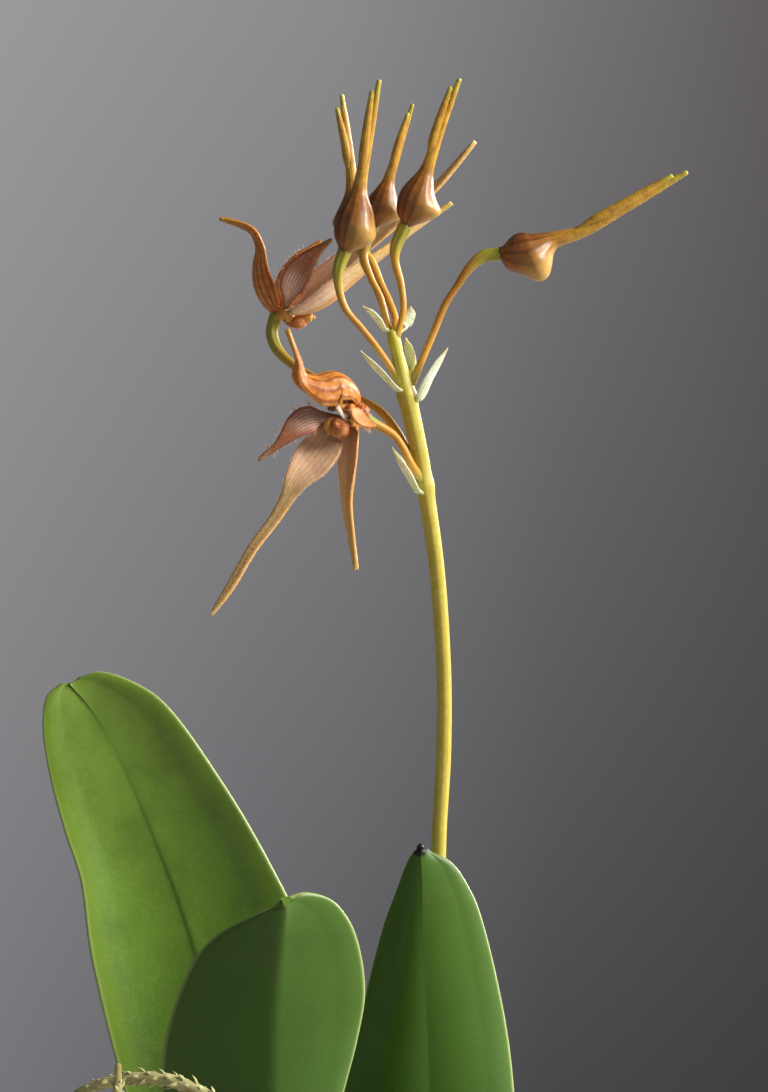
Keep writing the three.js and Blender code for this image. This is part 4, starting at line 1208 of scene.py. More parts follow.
LEAVES = {
    "right": {
        "left": [
            (4.5, -1.5, 10.6), (2.4, -0.7, 12.8), (0.2, 0.2, 17), (-1.0, 0.7, 21.3),
            (-0.4, 0.7, 27.3), (0.7, 0.5, 32.1), (2.3, 0.0, 38.3), (3.1, -0.7, 40.5),
            (3.9, -1.6, 42.6), (4.4, -2.1, 43.4),
        ],
        "rib": [
            (5.3, -1.5, 10.6), (5.4, -1.3, 17), (5.3, -1.0, 27.4), (4.8, -1.5, 38),
            (4.7, -2.2, 43.5),
        ],
        "right": [
            (6.1, -1.5, 10.6), (8.5, -1.2, 12.8), (10.5, -0.6, 17), (11.1, -0.2, 21.3),
            (10.9, -0.1, 27.3), (10.3, -0.1, 32.1), (8.9, -0.5, 38.3), (8.1, -0.9, 40.5),
            (6.7, -1.6, 42.6), (5.1, -2.1, 43.4),
        ],
        "swelling": -0.35,
        "dark_line": (0.82, 0.94),  # where along the leaf its midrib turns dark
        "crease": -0.02,
        "soft": 0.6,  # how far the bend at the midrib is rounded off, as a share of the half width
    },
    "left": {
        "left": [
            (-6.4, 4.1, 10.6), (-8.6, 3.8, 13), (-11.6, 3.9, 18.6), (-14.1, 4.3, 23.7),
            (-17.4, 5.8, 35.7), (-18.2, 6.6, 41.1), (-19.3, 7.2, 44.4), (-20.4, 7.8, 48.5),
            (-20.8, 8.3, 51.7), (-20.5, 8.7, 53.5), (-19.6, 9.3, 54.3),
        ],
        "rib": [
            (-5.6, 4.1, 10.6), (-6.7, 4.9, 19.6), (-8.2, 5.9, 26.8), (-10.4, 7.0, 35.9),
            (-13.0, 8.0, 43.2), (-16.9, 9.3, 51.6), (-19.0, 9.6, 54.2),
        ],
        "right": [
            (-4.8, 4.1, 10.6), (-3.7, 3.6, 14), (-2.8, 3.6, 19.7), (-2.2, 4.2, 27),
            (-2.5, 4.9, 33.5), (-3.5, 5.4, 38.2), (-5.4, 6.0, 42.2), (-8.6, 7.2, 47.6),
            (-12.7, 8.4, 53.1), (-14.9, 8.9, 54.5), (-17.0, 9.3, 55.1), (-18.4, 9.5, 54.7),
        ],
        "swelling": 0.4,
        "dark_line": (1.0, 0.6),
        "crease": 0.16,
        "soft": 0.15,
    },
    "middle": {
        "left": [
            (-7.5, -10.3, 10.6), (-9.4, -9.0, 16.1), (-11.1, -8.5, 21.3), (-12.1, -8.6, 25.9),
            (-12.3, -9.2, 29.2), (-11.7, -10.3, 32.7), (-9.8, -12.2, 37), (-8.2, -13.4, 38.5),
            (-6.1, -15.2, 39.6), (-4.9, -16.4, 40.2),
        ],
        "rib": [
            (-6.7, -10.3, 10.6), (-6.0, -11.0, 18.8), (-5.0, -12.8, 28.1), (-4.9, -14.0, 33.2),
            (-4.4, -16.0, 39), (-4.3, -16.8, 40.4),
        ],
        "right": [
            (-5.9, -10.3, 10.6), (-3.6, -9.7, 16.8), (-1.8, -10.0, 22), (-0.4, -10.8, 27.9),
            (0.5, -11.5, 31.4), (1.0, -12.3, 34.6), (0.5, -13.4, 38), (-0.3, -14.4, 39.7),
            (-1.3, -15.2, 40.7), (-3.0, -16.3, 41.1), (-3.7, -16.7, 40.8),
        ],
        "swelling": -0.4,
        "soft": 0.04,
        "dark_line": (2.0, 3.0),
        "crease": -0.12,
    },
}
DRY_SPOT = (4.68, -2.3, 43.45)  # the dead tip of the right leaf
CREASE_WIDTH = 0.1  # share of the half width
FOOT_SINK = 0.7  # how far a leaf's foot goes down into its pseudobulb


def leaf_skins(side):
    """A leaf between its two edges, folded along its midrib, and the dead tip of the right one."""
    leaf = LEAVES[side]
    rails = []
    for edge in ("left", "rib", "right"):
        points = above_moss(leaf[edge])
        points[0] = (*points[0][:2], points[0][2] - FOOT_SINK)
        rails.append(Path(points))
    upper_in_front = leaf["crease"] > 0

    def surface(t, u):
        middle = rails[1].even(t)
        edge = np.where((u < 0)[..., None], rails[0].even(t), rails[2].even(t))
        across = np.abs(u)
        lift = leaf["swelling"] * 4 * across * (1 - across) * np.sin(math.pi * np.minimum(t, 0.98))
        fold = leaf["crease"] * np.exp(-across / CREASE_WIDTH)
        fold = fold * rise(0.02, 0.12, t) * rise(1.0, 0.8, t)
        sway = 0.12 * np.sin(11 * t + 2 * u) * across**3 * rise(0, 0.2, t) * rise(1, 0.8, t)
        point = middle + (edge - middle) * across[..., None]
        soft = leaf["soft"]
        rounded_off = (np.sqrt(u**2 + soft**2) - soft) / (math.sqrt(1 + soft**2) - soft)
        point[..., 1] += (edge - middle)[..., 1] * (rounded_off - across) + lift + fold + sway
        return point

    def thickness(t, u):
        outward = np.minimum(1, np.abs(u) / KEEL_REACH) * np.minimum(1, t / LEAF_FOOT)
        body = LEAF_KEEL + (LEAF_MARGIN - LEAF_KEEL) * outward
        return body * (1 - 0.72 * np.abs(u) ** 10 * rise(0.02, 0.1, t))

    def spot(t, u):
        if side != "right":
            return np.zeros_like(t)
        far = np.linalg.norm(surface(t, u) - np.array(above_moss([DRY_SPOT])[0]), axis=-1)
        return rise(0.55, 0.3, far)

    def midrib(t, u):
        return np.exp(-((u / 0.03) ** 2)) * rise(*leaf["dark_line"], t)

    def rim(t, u):
        return rise(0.955, 0.995, np.abs(u))

    blade = sheet(surface, thickness, 140, 58, midrib=midrib, spot=spot, rim=rim)
    # The darker lower side is the sheet's back where the groove of the upper side faces forwards
    blade.marks["underside"] = blade.marks["back"] if upper_in_front else 1 - blade.marks["back"]
    skins = [blade]
    if side == "right":
        x, y, z = above_moss([DRY_SPOT])[0]
        stub = [(x, y + 0.05, z - 0.3), (x - 0.02, y, z - 0.05), (x + 0.02, y - 0.04, z + 0.14)]
        skins.append(tube(
            stub, [0.2, 0.25, 0.25], 16, 8, swell=lambda t, a: 1 - 0.09 * np.cos(4 * a + 0.6),
            caps=(80, 55, 20), spot=1,
        ))
    return skins


# The flower stalk: scape, short rachis and seven pedicels with their ovaries

SCAPE_PATH = [
    (4.6, 3.0, 1.55), (5.2, 3.5, 5), (5.7, 3.5, 11), (5.9, 3.0, 20), (5.93, 2.4, 32),
    (5.93, 1.8, 43.7), (6.23, 1.5, 49.5), (6.27, 1.2, 54.5), (6.05, 0.9, 59), (5.68, 0.6, 63),
    (5.15, 0.4, 66.6), (4.62, 0.2, 69.8), (3.85, 0, 73.4), (3.35, 0, 75.6), (2.85, 0, 77.7),
]
SCAPE_RADII = [1.5, 1.25, 1.1, 1, 1, 1, 1, 1, 1, 1.04, 1.12, 1.16, 1.22, 0.9, 0.75]
PEDICELS = {
    "bud_front": (
        [
            (3.6, 0, 74.1), (2.65, -0.2, 75.6), (1.7, -0.5, 76.95), (0.7, -0.8, 78.2),
            (-0.3, -1.0, 79.4), (-0.75, -1.1, 80.8), (-0.75, -1.2, 82.0), (-0.42, -1.2, 83.05),
        ],
        [1.3, 1, 0.95, 0.95, 1, 1.15, 1.6, 1.9],
    ),
    "bud_middle": (
        [(2.85, 0, 77.4), (2.5, 0.5, 78.4), (2.0, 1.0, 80.2), (1.4, 1.5, 81.5), (0.9, 2.0, 82.9),
         (1.1, 2.4, 84.0), (1.5, 2.6, 84.85)],
        [1.3, 1, 1, 1, 1.3, 1.6, 1.6],
    ),
    "bud_tall": (
        [(2.95, 0, 77.2), (3.3, -0.1, 78.2), (3.55, -0.1, 79.4), (3.4, 0, 81.0), (3.0, 0, 82.6),
         (3.05, 0, 83.5), (3.6, 0, 84.8)],
        [1.3, 0.95, 0.9, 1, 1.2, 1.6, 2.0],
    ),
    "bud_hidden": (
        [(2.95, 0.1, 77.3), (3.05, 0.9, 78.6), (2.6, 2.2, 80.0), (2.1, 3.2, 81.1), (1.4, 4.2, 82.7),
         (0.7, 4.8, 83.6), (0.5, 5.0, 84.05)],
        [1.3, 1, 1, 1, 1.3, 1.6, 1.7],
    ),
    "bud_right": (
        [(3.9, 0, 74.0), (4.8, 0.1, 76.0), (5.6, 0.4, 77.9), (6.35, 0.6, 79.7), (7.15, 0.8, 80.95),
         (8.0, 0.9, 82.2), (8.95, 1.0, 82.95), (9.85, 1.0, 83.1)],
        [1.3, 1, 1, 1, 1, 1.4, 1.8, 1.9],
    ),
    "front": (
        [
            (4.8, 0.1, 67.9), (4.1, -0.45, 69.0), (3.55, -0.6, 70.1), (3.0, -0.7, 70.9),
            (2.2, -0.9, 71.45), (1.5, -1.1, 71.8), (0.95, -1.45, 72.2),
        ],
        [1.4, 1.2, 1.1, 1.1, 1.3, 1.5, 1.5],
    ),
    "back": (
        [
            (4.75, 0.5, 68.1), (3.95, 0.5, 69.6), (3.4, 0.55, 70.8), (2.75, 0.7, 71.8),
            (1.9, 1.0, 72.7), (0.8, 1.5, 73.35), (-1.0, 2.8, 74.2), (-2.5, 4.4, 74.95),
            (-4.0, 6.2, 75.9), (-5.0, 7.4, 77.0), (-5.3, 7.9, 78.0), (-5.1, 8.0, 79.0),
        ],
        [1.4, 1.3, 1.2, 1.15, 1.1, 1.1, 1.1, 1.15, 1.3, 1.6, 1.8, 1.8],
    ),
}
NODE_HEIGHTS = (67.6, 73.6, 77.2)  # where pedicels leave the stalk
OVARY_START = 0.72  # share of a pedicel below its ovary
OVARY_GROOVES = 6


def stalk_skins():
    """The scape with the knots of its nodes, the pedicels with their ovaries, and two sheaths."""
    line = Path(above_moss(SCAPE_PATH))

    def scape_swell(t, angle):
        z = line.at(t)[..., 2] - MOSS_LEVEL
        knots = sum(0.16 * np.exp(-(((z - h) / 0.55) ** 2)) for h in NODE_HEIGHTS)
        ridge = 0.02 * np.sin(5 * angle + 3 * t) + 0.012 * np.sin(40 * t + 2 * angle)
        return 1 + knots + ridge

    skins = [tube(line, np.array(SCAPE_RADII) * STALK_RADIUS, 32, 240, swell=scape_swell)]
    for name, (path, radii) in PEDICELS.items():
        dark = 1 if name == "bud_right" else 0.15

        def ovary_swell(t, angle):
            ripe = rise(OVARY_START, 0.86, t)
            return 1 + ripe * (0.09 * np.cos(OVARY_GROOVES * angle) - 0.02) + 0.02 * np.sin(25 * t)

        skins.append(
            tube(
                above_moss(path), np.array(radii) * PEDICEL_RADIUS, 26, 76, swell=ovary_swell,
                pedicel=lambda t, a: rise(0.0, 0.16, t),
                dark=lambda t, a, dark=dark: dark * rise(0.15, 0.5, t) * rise(0.9, 0.6, t),
                ovary=lambda t, a: rise(OVARY_START - 0.1, 0.9, t),
            )
        )
    # Two short sheaths clasp the foot of the scape
    for low, high, wide in ((0.0, 0.09, 1.28), (0.07, 0.2, 1.16)):
        clasp = line.at(np.linspace(low, high, 6))
        radii = [
            STALK_RADIUS * along(SCAPE_RADII, s) * wide + 0.08 for s in np.linspace(low, high, 6)
        ]
        skins.append(
            tube(
                clasp, radii, 30, 30,
                swell=lambda t, a: 1 + 0.1 * rise(0.5, 1, t) * (1 + 0.4 * np.sin(5 * a)),
                caps=(60, 30), dry=0.85,
            )
        )
    return skins


# Bracts: x, y and height of four stations each

BRACTS = [
    [(3.15, -0.75, 73.95), (2.2, -0.85, 74.85), (1.4, -1.0, 75.7), (0.7, -1.2, 76.6)],
    [(4.66, -0.45, 73.4), (5.2, -0.52, 74.45), (5.85, -0.5, 75.6), (6.5, -0.4, 76.8)],
    [(3.97, 0.76, 74.9), (4.0, 0.84, 75.9), (3.85, 0.72, 76.8), (3.72, 0.62, 77.5)],
    [(2.25, -0.2, 78.0), (1.8, -0.3, 78.6), (1.3, -0.3, 79.15), (0.85, -0.3, 79.6)],
    [(3.7, 0.75, 78.1), (3.9, 0.9, 78.75), (4.0, 0.9, 79.2), (4.05, 0.9, 79.6)],
    [(4.45, -0.7, 67.2), (3.85, -0.95, 68.2), (3.3, -1.05, 69.1), (2.95, -1.1, 69.9)],
    [(4.35, 1.15, 67.6), (3.75, 1.3, 68.5), (3.2, 1.35, 69.4), (2.8, 1.35, 70.2)],
]
BRACT_WIDTHS = [0.34, 0.44, 0.38, 0.13]
BRACT_BENDS = [0.9, 0.8, 0.7, 0.2]


def bract_skin(stations):
    """A bract, thin and hollowed like a boat, its base drawn down onto the stalk."""
    line = Path(SCAPE_PATH).at(np.linspace(0.5, 1, 200))
    first = np.array(stations[0])
    stem = line[np.argmin(np.linalg.norm(line - first + [0, 0, 0.5], axis=1))]
    base = stem + (first - stem) * 0.4
    middle = stem + (first - stem) * 0.75 + [0, 0, 0.05]
    points = [(*base, 0.16, 1.0), (*middle, 0.24, 1.0)]
    points += [(*s, w, b) for s, w, b in zip(stations, BRACT_WIDTHS, BRACT_BENDS)]
    surface = blade_surface(above_moss(points), (0.2, 0.3, 1), wave=0.04, tip=0.8)
    return sheet(surface, lambda t, u: 0.17 - 0.08 * u**2 - 0.04 * t, 60, 18)


# Closed buds: a round body with a chin, drawn out into the long joined sepal tails

BUDS = {
    "front": {
        "path": [(-0.37, -1.2, 83.2), (0.1, -1.2, 84.5), (0.42, -1.15, 85.7), (0.6, -1.1, 87.1),
                 (0.85, -1.05, 88.6), (1.2, -1.0, 90.4), (1.93, -0.9, 94.5)],
        "second": [(0.75, -1.3, 88.2), (1.0, -1.25, 90.4), (1.45, -1.1, 93.75)],
        "chin": (0.8, -0.4, -0.45), "chin_at": 0.16, "chin_depth": 0.4, "size": 1,
    },
    "middle": {
        "path": [(1.6, 2.6, 85.05), (1.95, 2.6, 85.9), (2.25, 2.65, 86.8), (2.53, 2.7, 87.9),
                 (2.85, 2.75, 89.0), (3.3, 2.8, 90.4), (4.16, 3.0, 93.1)],
        "second": [(2.75, 2.5, 88.8), (3.15, 2.55, 90.3), (3.85, 2.75, 92.5)],
        "chin": (0.85, -0.3, -0.3), "chin_at": 0.2, "chin_depth": 0.5, "size": 0.8,
    },
    "tall": {
        "path": [(3.73, 0, 85.0), (4.15, 0, 86.0), (4.55, 0, 87.1), (5.07, 0, 88.5), (5.5, 0, 89.8),
                 (6.07, 0.1, 91.5), (7.27, 0.2, 94.65)],
        "second": [(5.2, -0.2, 89.5), (5.75, -0.15, 91.4), (6.68, 0, 94.1)],
        "chin": (0.85, -0.1, -0.4), "chin_at": 0.22, "chin_depth": 0.55, "size": 0.93,
    },
    "hidden": {
        "path": [(0.45, 5.0, 84.34), (0.35, 5.0, 85.2), (0.26, 5.05, 86.2), (0.16, 5.1, 87.4),
                 (0.05, 5.15, 88.8), (-0.15, 5.2, 90.7), (-0.56, 5.3, 93.85)],
        "second": [(-0.1, 4.95, 88.6), (-0.35, 5.0, 90.6), (-0.87, 5.1, 92.95)],
        "chin": (-0.7, 0.6, -0.3), "chin_at": 0.2, "chin_depth": 0.5, "size": 0.9,
    },
    "right": {
        "path": [(10.08, 1.0, 83.15), (11.0, 1.0, 83.1), (12.1, 1.0, 83.3), (13.5, 1.0, 84.0),
                 (15.5, 1.0, 84.6), (18.3, 1.0, 86.15), (22.4, 1.0, 88.5)],
        "second": [(15.0, 0.75, 84.7), (18.0, 0.75, 86.3), (21.4, 0.8, 88.25)],
        "chin": (0.35, -0.15, -0.9), "chin_at": 0.36, "chin_depth": 0.75, "size": 1.06,
    },
}
BUD_RADII = [0.34, 0.78, 0.99, 1.06, 1.0, 0.74, 0.47, 0.37, 0.33, 0.3, 0.27, 0.22, 0.14]
CHIN_LENGTH = 0.1


def bud_skins(bud):
    """A bud whose three sepals meet at shallow seams, and its second tail."""

    def shape(t, angle):
        bulge = bud["chin_depth"] * np.exp(-(((t - bud["chin_at"]) / CHIN_LENGTH) ** 2))
        seams = 0.05 * np.abs(np.cos(1.5 * angle + 0.8)) ** 0.5 - 0.05
        ribs = 0.016 * np.cos(14 * angle + 5 * t)
        belly = rise(0.02, 0.1, t)
        return 1 + bulge * (0.5 + 0.5 * np.cos(angle)) ** 3 + (seams + ribs) * belly

    def chin(t, angle):
        near = np.exp(-(((t - bud["chin_at"]) / (CHIN_LENGTH * 1.4)) ** 2))
        return near * (0.5 + 0.5 * np.cos(angle)) ** 3 * 0.9

    # Darker brown on the side away from the chin: partly the bud's own colour, partly painted
    # shade.
    def flush(t, angle):
        return (0.5 - 0.5 * np.cos(angle)) ** 1.5 * rise(0.02, 0.15, t) * rise(0.62, 0.3, t)

    size = BUD_RADIUS * bud["size"]
    body = tube(
        above_moss(bud["path"]), np.array(BUD_RADII) * size, 54, 140, bud["chin"], shape, chin=chin,
        flush=flush,
    )
    tail = tube(above_moss(bud["second"]), np.array([0.06, 0.25, 0.26, 0.22, 0.14]) * size, 20, 50)
    # The tail's UV runs on from the body's middle, so that both take the tails' colours
    tail.uv = [(u, 0.55 + 0.45 * v) for u, v in tail.uv]
    return [body, tail]


# Open flowers: stations of x, y, height, half width and bend

FLOWERS = {
    "front": {
        "heart": (0.35, -2.2, 72.0),
        "ovary_end": (0.95, -1.45, 72.2),
        "dorsal_sepal": {
            "face": (-0.1, 0.1, -1), "face_tip": (-0.75, 0.1, -0.65), "claw_width": 0.85,
            "stations": [
                (0.55, -2.15, 73.15, 0.95, 1.2), (0.15, -2.6, 74.3, 1.75, 1.5),
                (-0.9, -3.3, 75.0, 2.3, 1.7), (-2.1, -3.9, 74.75, 2.3, 1.8),
                (-2.95, -4.3, 74.9, 1.35, 1.4), (-3.3, -4.6, 75.8, 0.6, 0.8),
                (-3.7, -4.8, 76.8, 0.36, 0.3), (-4.15, -5.0, 77.95, 0.2, 0.1),
            ],
        },
        "left_petal": {
            "face": (-0.25, -1, 0.25),
            "stations": [
                (-1.95, -3.05, 72.0, 0.6, 0.5), (-2.65, -3.35, 71.95, 0.95, 0.5),
                (-3.4, -3.7, 71.55, 0.9, 0.5), (-4.2, -4.0, 70.85, 0.5, 0.4),
                (-4.85, -4.2, 70.2, 0.24, 0.2), (-5.45, -4.3, 69.75, 0.17, 0.1),
                (-6.07, -4.4, 69.27, 0.14, 0.1),
            ],
        },
        "right_petal": {
            "face": (0.55, -0.6, 0.5),
            "stations": [
                (0.25, -3.45, 72.7, 0.4, 0.4), (0.45, -3.6, 72.25, 0.7, 0.5),
                (0.8, -3.55, 71.9, 0.58, 0.5), (1.25, -3.4, 71.65, 0.32, 0.3),
                (1.7, -3.25, 71.55, 0.16, 0.1),
            ],
        },
        "long_sepal": {
            "face": (-0.2, -1, 0.1), "face_tip": (-0.5, -0.85, 0.1),
            "stations": [
                (-1.15, -2.2, 71.0, 0.95, 0.4), (-1.85, -2.7, 69.95, 1.35, 0.5),
                (-2.6, -3.2, 68.95, 1.35, 0.6), (-3.4, -3.6, 68.0, 0.95, 0.6),
                (-4.05, -3.9, 66.9, 0.56, 0.4), (-5.0, -4.2, 65.35, 0.42, 0.3),
                (-6.4, -4.5, 63.45, 0.37, 0.3), (-7.9, -4.7, 60.9, 0.32, 0.2),
                (-9.2, -4.8, 59.0, 0.17, 0.1),
            ],
        },
        "hanging_sepal": {
            "face": (-0.88, -0.5, 0.1),
            "stations": [
                (0.25, -2.1, 71.2, 0.9, 0.4), (0.1, -2.4, 69.8, 1.2, 0.5),
                (0.0, -2.5, 68.2, 1.0, 0.6), (-0.1, -2.4, 66.5, 0.7, 0.6),
                (0.1, -2.2, 64.3, 0.42, 0.3), (0.43, -2.0, 62.0, 0.18, 0.1),
            ],
        },
        "lip": {
            "path": [
                (-0.2, -2.95, 71.15), (-0.45, -3.25, 71.2), (-0.68, -3.55, 71.4),
                (-0.85, -3.95, 71.55), (-0.95, -4.2, 71.6),
            ],
            "radii": [0.3, 0.55, 0.7, 0.6, 0.25],
            "lobe": [
                (-0.75, -3.2, 71.55), (-1.2, -3.45, 71.8), (-1.42, -3.62, 71.5), (-1.35, -3.8, 71.1)
            ],
            "lobe_radii": [0.2, 0.32, 0.34, 0.16],
        },
        "column": {
            "path": [
                (0.28, -2.25, 72.4), (-0.1, -2.6, 72.68), (-0.6, -3.1, 72.92), (-1.0, -3.45, 72.93),
                (-1.2, -3.65, 72.8),
            ],
            "radii": [0.4, 0.42, 0.4, 0.42, 0.2],
            "lobe": [(0.3, -2.3, 72.5), (0.25, -2.5, 72.1), (0.15, -2.65, 71.7)],
            "lobe_radii": [0.3, 0.3, 0.24],
            "wings": [
                [
                    (-0.9, -3.75, 73.05), (-0.75, -3.95, 72.7), (-0.45, -3.98, 72.2),
                    (-0.2, -3.9, 71.95),
                ],
                [(-1.0, -3.3, 73.2), (-1.3, -3.5, 73.3), (-1.6, -3.7, 73.15)],
            ],
        },
    },
    "back": {
        "heart": (-4.4, 8.0, 79.4),
        "ovary_end": (-5.1, 8.0, 79.0),
        "dorsal_sepal": {
            "face": (0.6, 0.4, 0.7), "face_tip": (0.7, 0.3, 0.1),
            "stations": [
                (-5.15, 8.0, 79.45, 0.85, 1.0), (-5.85, 8.0, 80.2, 1.35, 1.2),
                (-6.3, 8.0, 81.3, 1.45, 1.2), (-6.35, 8.1, 82.5, 1.05, 1.0),
                (-6.2, 8.2, 83.7, 0.55, 0.7), (-6.65, 8.3, 84.85, 0.36, 0.3),
                (-7.8, 8.5, 85.45, 0.24, 0.2), (-8.85, 8.6, 85.75, 0.16, 0.1),
            ],
        },
        "left_petal": {
            "face": (0.35, -1, 0.2),
            "stations": [
                (-4.15, 6.9, 80.35, 0.45, 0.4), (-4.0, 6.8, 81.1, 0.85, 0.5),
                (-3.5, 6.7, 82.1, 0.9, 0.5), (-2.8, 6.6, 82.95, 0.6, 0.4),
                (-2.05, 6.6, 83.65, 0.3, 0.2), (-1.2, 6.6, 84.3, 0.14, 0.1),
            ],
        },
        "right_petal": {
            "face": (0.5, 1, 0.2),
            "stations": [
                (-4.7, 9.9, 80.3, 0.45, 0.4), (-4.5, 10.4, 81.1, 0.85, 0.5),
                (-4.0, 10.8, 82.1, 0.9, 0.5), (-3.4, 11.0, 83.0, 0.6, 0.4),
                (-2.7, 11.1, 83.7, 0.3, 0.2), (-2.0, 11.2, 84.3, 0.14, 0.1),
            ],
        },
        "long_sepal": {
            "face": (-0.45, -0.5, 0.8), "face_tip": (-0.4, -0.6, 0.7),
            "stations": [
                (-3.6, 8.9, 79.95, 0.85, 0.4), (-2.4, 9.0, 81.0, 1.35, 0.5),
                (-0.4, 9.1, 82.7, 1.3, 0.6), (2.0, 9.2, 84.6, 0.75, 0.5),
                (4.0, 9.3, 86.3, 0.46, 0.3), (5.7, 9.3, 87.8, 0.4, 0.3),
                (8.45, 9.4, 91.0, 0.2, 0.1),
            ],
        },
        "hanging_sepal": {
            "face": (-0.5, 0.45, 0.8), "face_tip": (-0.4, 0.3, 0.85),
            "stations": [
                (-3.35, 7.05, 79.4, 0.75, 0.4), (-1.75, 6.95, 80.1, 1.35, 0.5),
                (0.0, 7.0, 81.5, 1.25, 0.6), (2.3, 7.1, 83.4, 0.7, 0.5),
                (4.6, 7.2, 85.2, 0.42, 0.3), (6.85, 7.3, 86.75, 0.18, 0.1),
            ],
        },
        "lip": {
            "path": [
                (-4.35, 8.05, 79.0), (-4.0, 8.1, 78.8), (-3.55, 8.15, 78.75), (-3.2, 8.15, 78.8),
                (-2.95, 8.15, 78.9),
            ],
            "radii": [0.3, 0.42, 0.5, 0.42, 0.2],
            "lobe": [(-3.6, 8.1, 78.8), (-3.1, 8.1, 78.95), (-2.7, 8.1, 79.05), (-2.5, 8.1, 79.05)],
            "lobe_radii": [0.2, 0.3, 0.3, 0.15],
        },
        "column": {
            "path": [
                (-4.38, 8.05, 79.75), (-4.22, 8.05, 80.15), (-4.02, 8.05, 80.6), (-3.8, 8.05, 80.9),
                (-3.65, 8.05, 81.0),
            ],
            "radii": [0.36, 0.4, 0.38, 0.4, 0.2],
            "lobe": [(-4.5, 8.05, 79.7), (-4.3, 8.05, 79.35), (-4.1, 8.05, 78.95)],
            "lobe_radii": [0.42, 0.46, 0.4],
            "wings": [
                [(-3.8, 8.3, 80.95), (-3.5, 8.35, 81.2), (-3.3, 8.35, 81.5)],
                [(-3.8, 7.8, 80.95), (-3.5, 7.75, 81.2), (-3.3, 7.75, 81.5)],
            ],
        },
    },
}
CLAW_REACH = 0.65  # share of the way from a sheet's base to the flower's heart that its claw covers


def flower_surface(part, heart):
    """The middle surface of a sepal or petal, with a narrow claw that joins it to the flower's
    heart."""
    stations = part["stations"]
    first = np.array(stations[0][:3])
    claw = first + (np.array(heart) - first) * CLAW_REACH
    points = [(*claw, stations[0][3] * part.get("claw_width", 0.45), stations[0][4]), *stations]
    return blade_surface(above_moss(points), part["face"], part.get("face_tip"), wave=0.07)


def lip_skins(part):
    """The lip: a thick tongue with a groove between two ridges, and its side lobe."""
    tongue = tube(
        above_moss(part["path"]),
        part["radii"],
        44,
        50,
        (0, -0.4, 1),
        lambda t, a: 1 - 0.2 * np.exp(-((np.minimum(a, TAU - a) / 0.35) ** 2)) * np.sin(math.pi * t)
        + 0.02 * np.sin(11 * a + 9 * t),
    )
    lobe = tube(
        above_moss(part["lobe"]), part["lobe_radii"], 28, 30,
        swell=lambda t, a: 1 + 0.04 * np.sin(4 * a), lobe=0.8,
    )
    return [tongue, lobe]


def column_skins(part, heart, ovary_end):
    """The column with its foot, its wings and anther cap, and the heart that carries the flower."""
    body = tube(
        above_moss(part["path"]), part["radii"], 36, 40, (0, -0.6, 1),
        lambda t, a: 1 - 0.16 * np.exp(-(((a - math.pi) / 0.5) ** 2)),
    )
    foot = tube(above_moss(part["lobe"]), part["lobe_radii"], 28, 24)
    start, end = np.array(ovary_end), np.array(heart)
    path = [start, (start + end) / 2, end, end + (end - start) * 0.45]
    middle = tube(
        above_moss(path), [0.36, 0.42, 0.6, 0.35], 32, 30,
        swell=lambda t, a: 1 + 0.05 * np.cos(3 * a),
    )
    tip, before = np.array(part["path"][-1]), np.array(part["path"][-2])
    ahead = unit(tip - before)
    cap_path = [tip - ahead * 0.12, tip + ahead * 0.06, tip + ahead * 0.2]
    cap = tube(above_moss(cap_path), [0.26, 0.3, 0.16], 24, 16, cap=0.9)
    skins = [body, foot, middle, cap]
    for wing in part["wings"]:
        skins.append(
            tube(
                above_moss(wing), [0.14, 0.17, 0.13, 0.05][: len(wing)], 16, 24, flatten=0.45,
                wing=0.85,
            )
        )
    return skins


def dashes(t, u):
    """Short pale dashes between the veins of the near side of the front hood."""
    across = rise(0.1, 0.8, np.sin(30 * u + 2 * np.sin(9 * t)))
    lengthwise = rise(0.0, 0.6, np.sin(70 * t + 9 * u))
    return across * lengthwise * rise(-0.15, -0.3, u) * rise(0.18, 0.26, t) * rise(0.55, 0.45, t)


SHEET_MARKS = {
    "dorsal_sepal": {"dash": dashes}, "right_petal": {"band": 1.0},
    "hanging_sepal": {"band": lambda t, u: rise(-0.35, 0.1, u) * rise(1.1, 0.5, t)},
}


def fringe(surface, low, high, count, seed):
    """Places, directions and sizes of hairs on a sheet's edges, between two shares of its
    length."""
    random = np.random.default_rng(seed)
    places, outs, sizes = [], [], []
    for side in (-1, 1):
        t = np.sort(random.uniform(low, high, count))
        edge = surface(t, np.full(count, 0.985 * side))
        within = surface(t, np.full(count, 0.85 * side))
        after = surface(np.minimum(t + 0.02, 1), np.full(count, float(side)))
        out = unit(edge - within) + 0.35 * unit(after - edge) + random.normal(0, 0.22, (count, 3))
        places.append(edge)
        outs.append(unit(out))
        sizes.append(random.uniform(0.55, 1.1, count))
    return np.vstack(places), np.vstack(outs), np.concatenate(sizes)


# What a user would change


def shade_of(name, description, code):
    return bpy.props.FloatVectorProperty(
        name=name, description=description, subtype="COLOR", size=4, min=0, max=1,
        default=colour(code),
    )


def length_of(name, description, size, low, high):
    return bpy.props.FloatProperty(
        name=name, description=description, unit="LENGTH", default=size * MM, min=low * MM,
        max=high * MM,
    )


def power_of(name, description, watts):
    return bpy.props.FloatProperty(
        name=name, description=description, unit="POWER", default=watts, min=0, soft_max=50
    )


class OrchidPot(bpy.types.PropertyGroup):
    clay: shade_of("Clay", "Colour of the fired clay", "#a8704f")
    line_depth: length_of(
        "Finger lines", "Depth of the lines that turning leaves on the wall", 0.035, 0, 0.2
    )


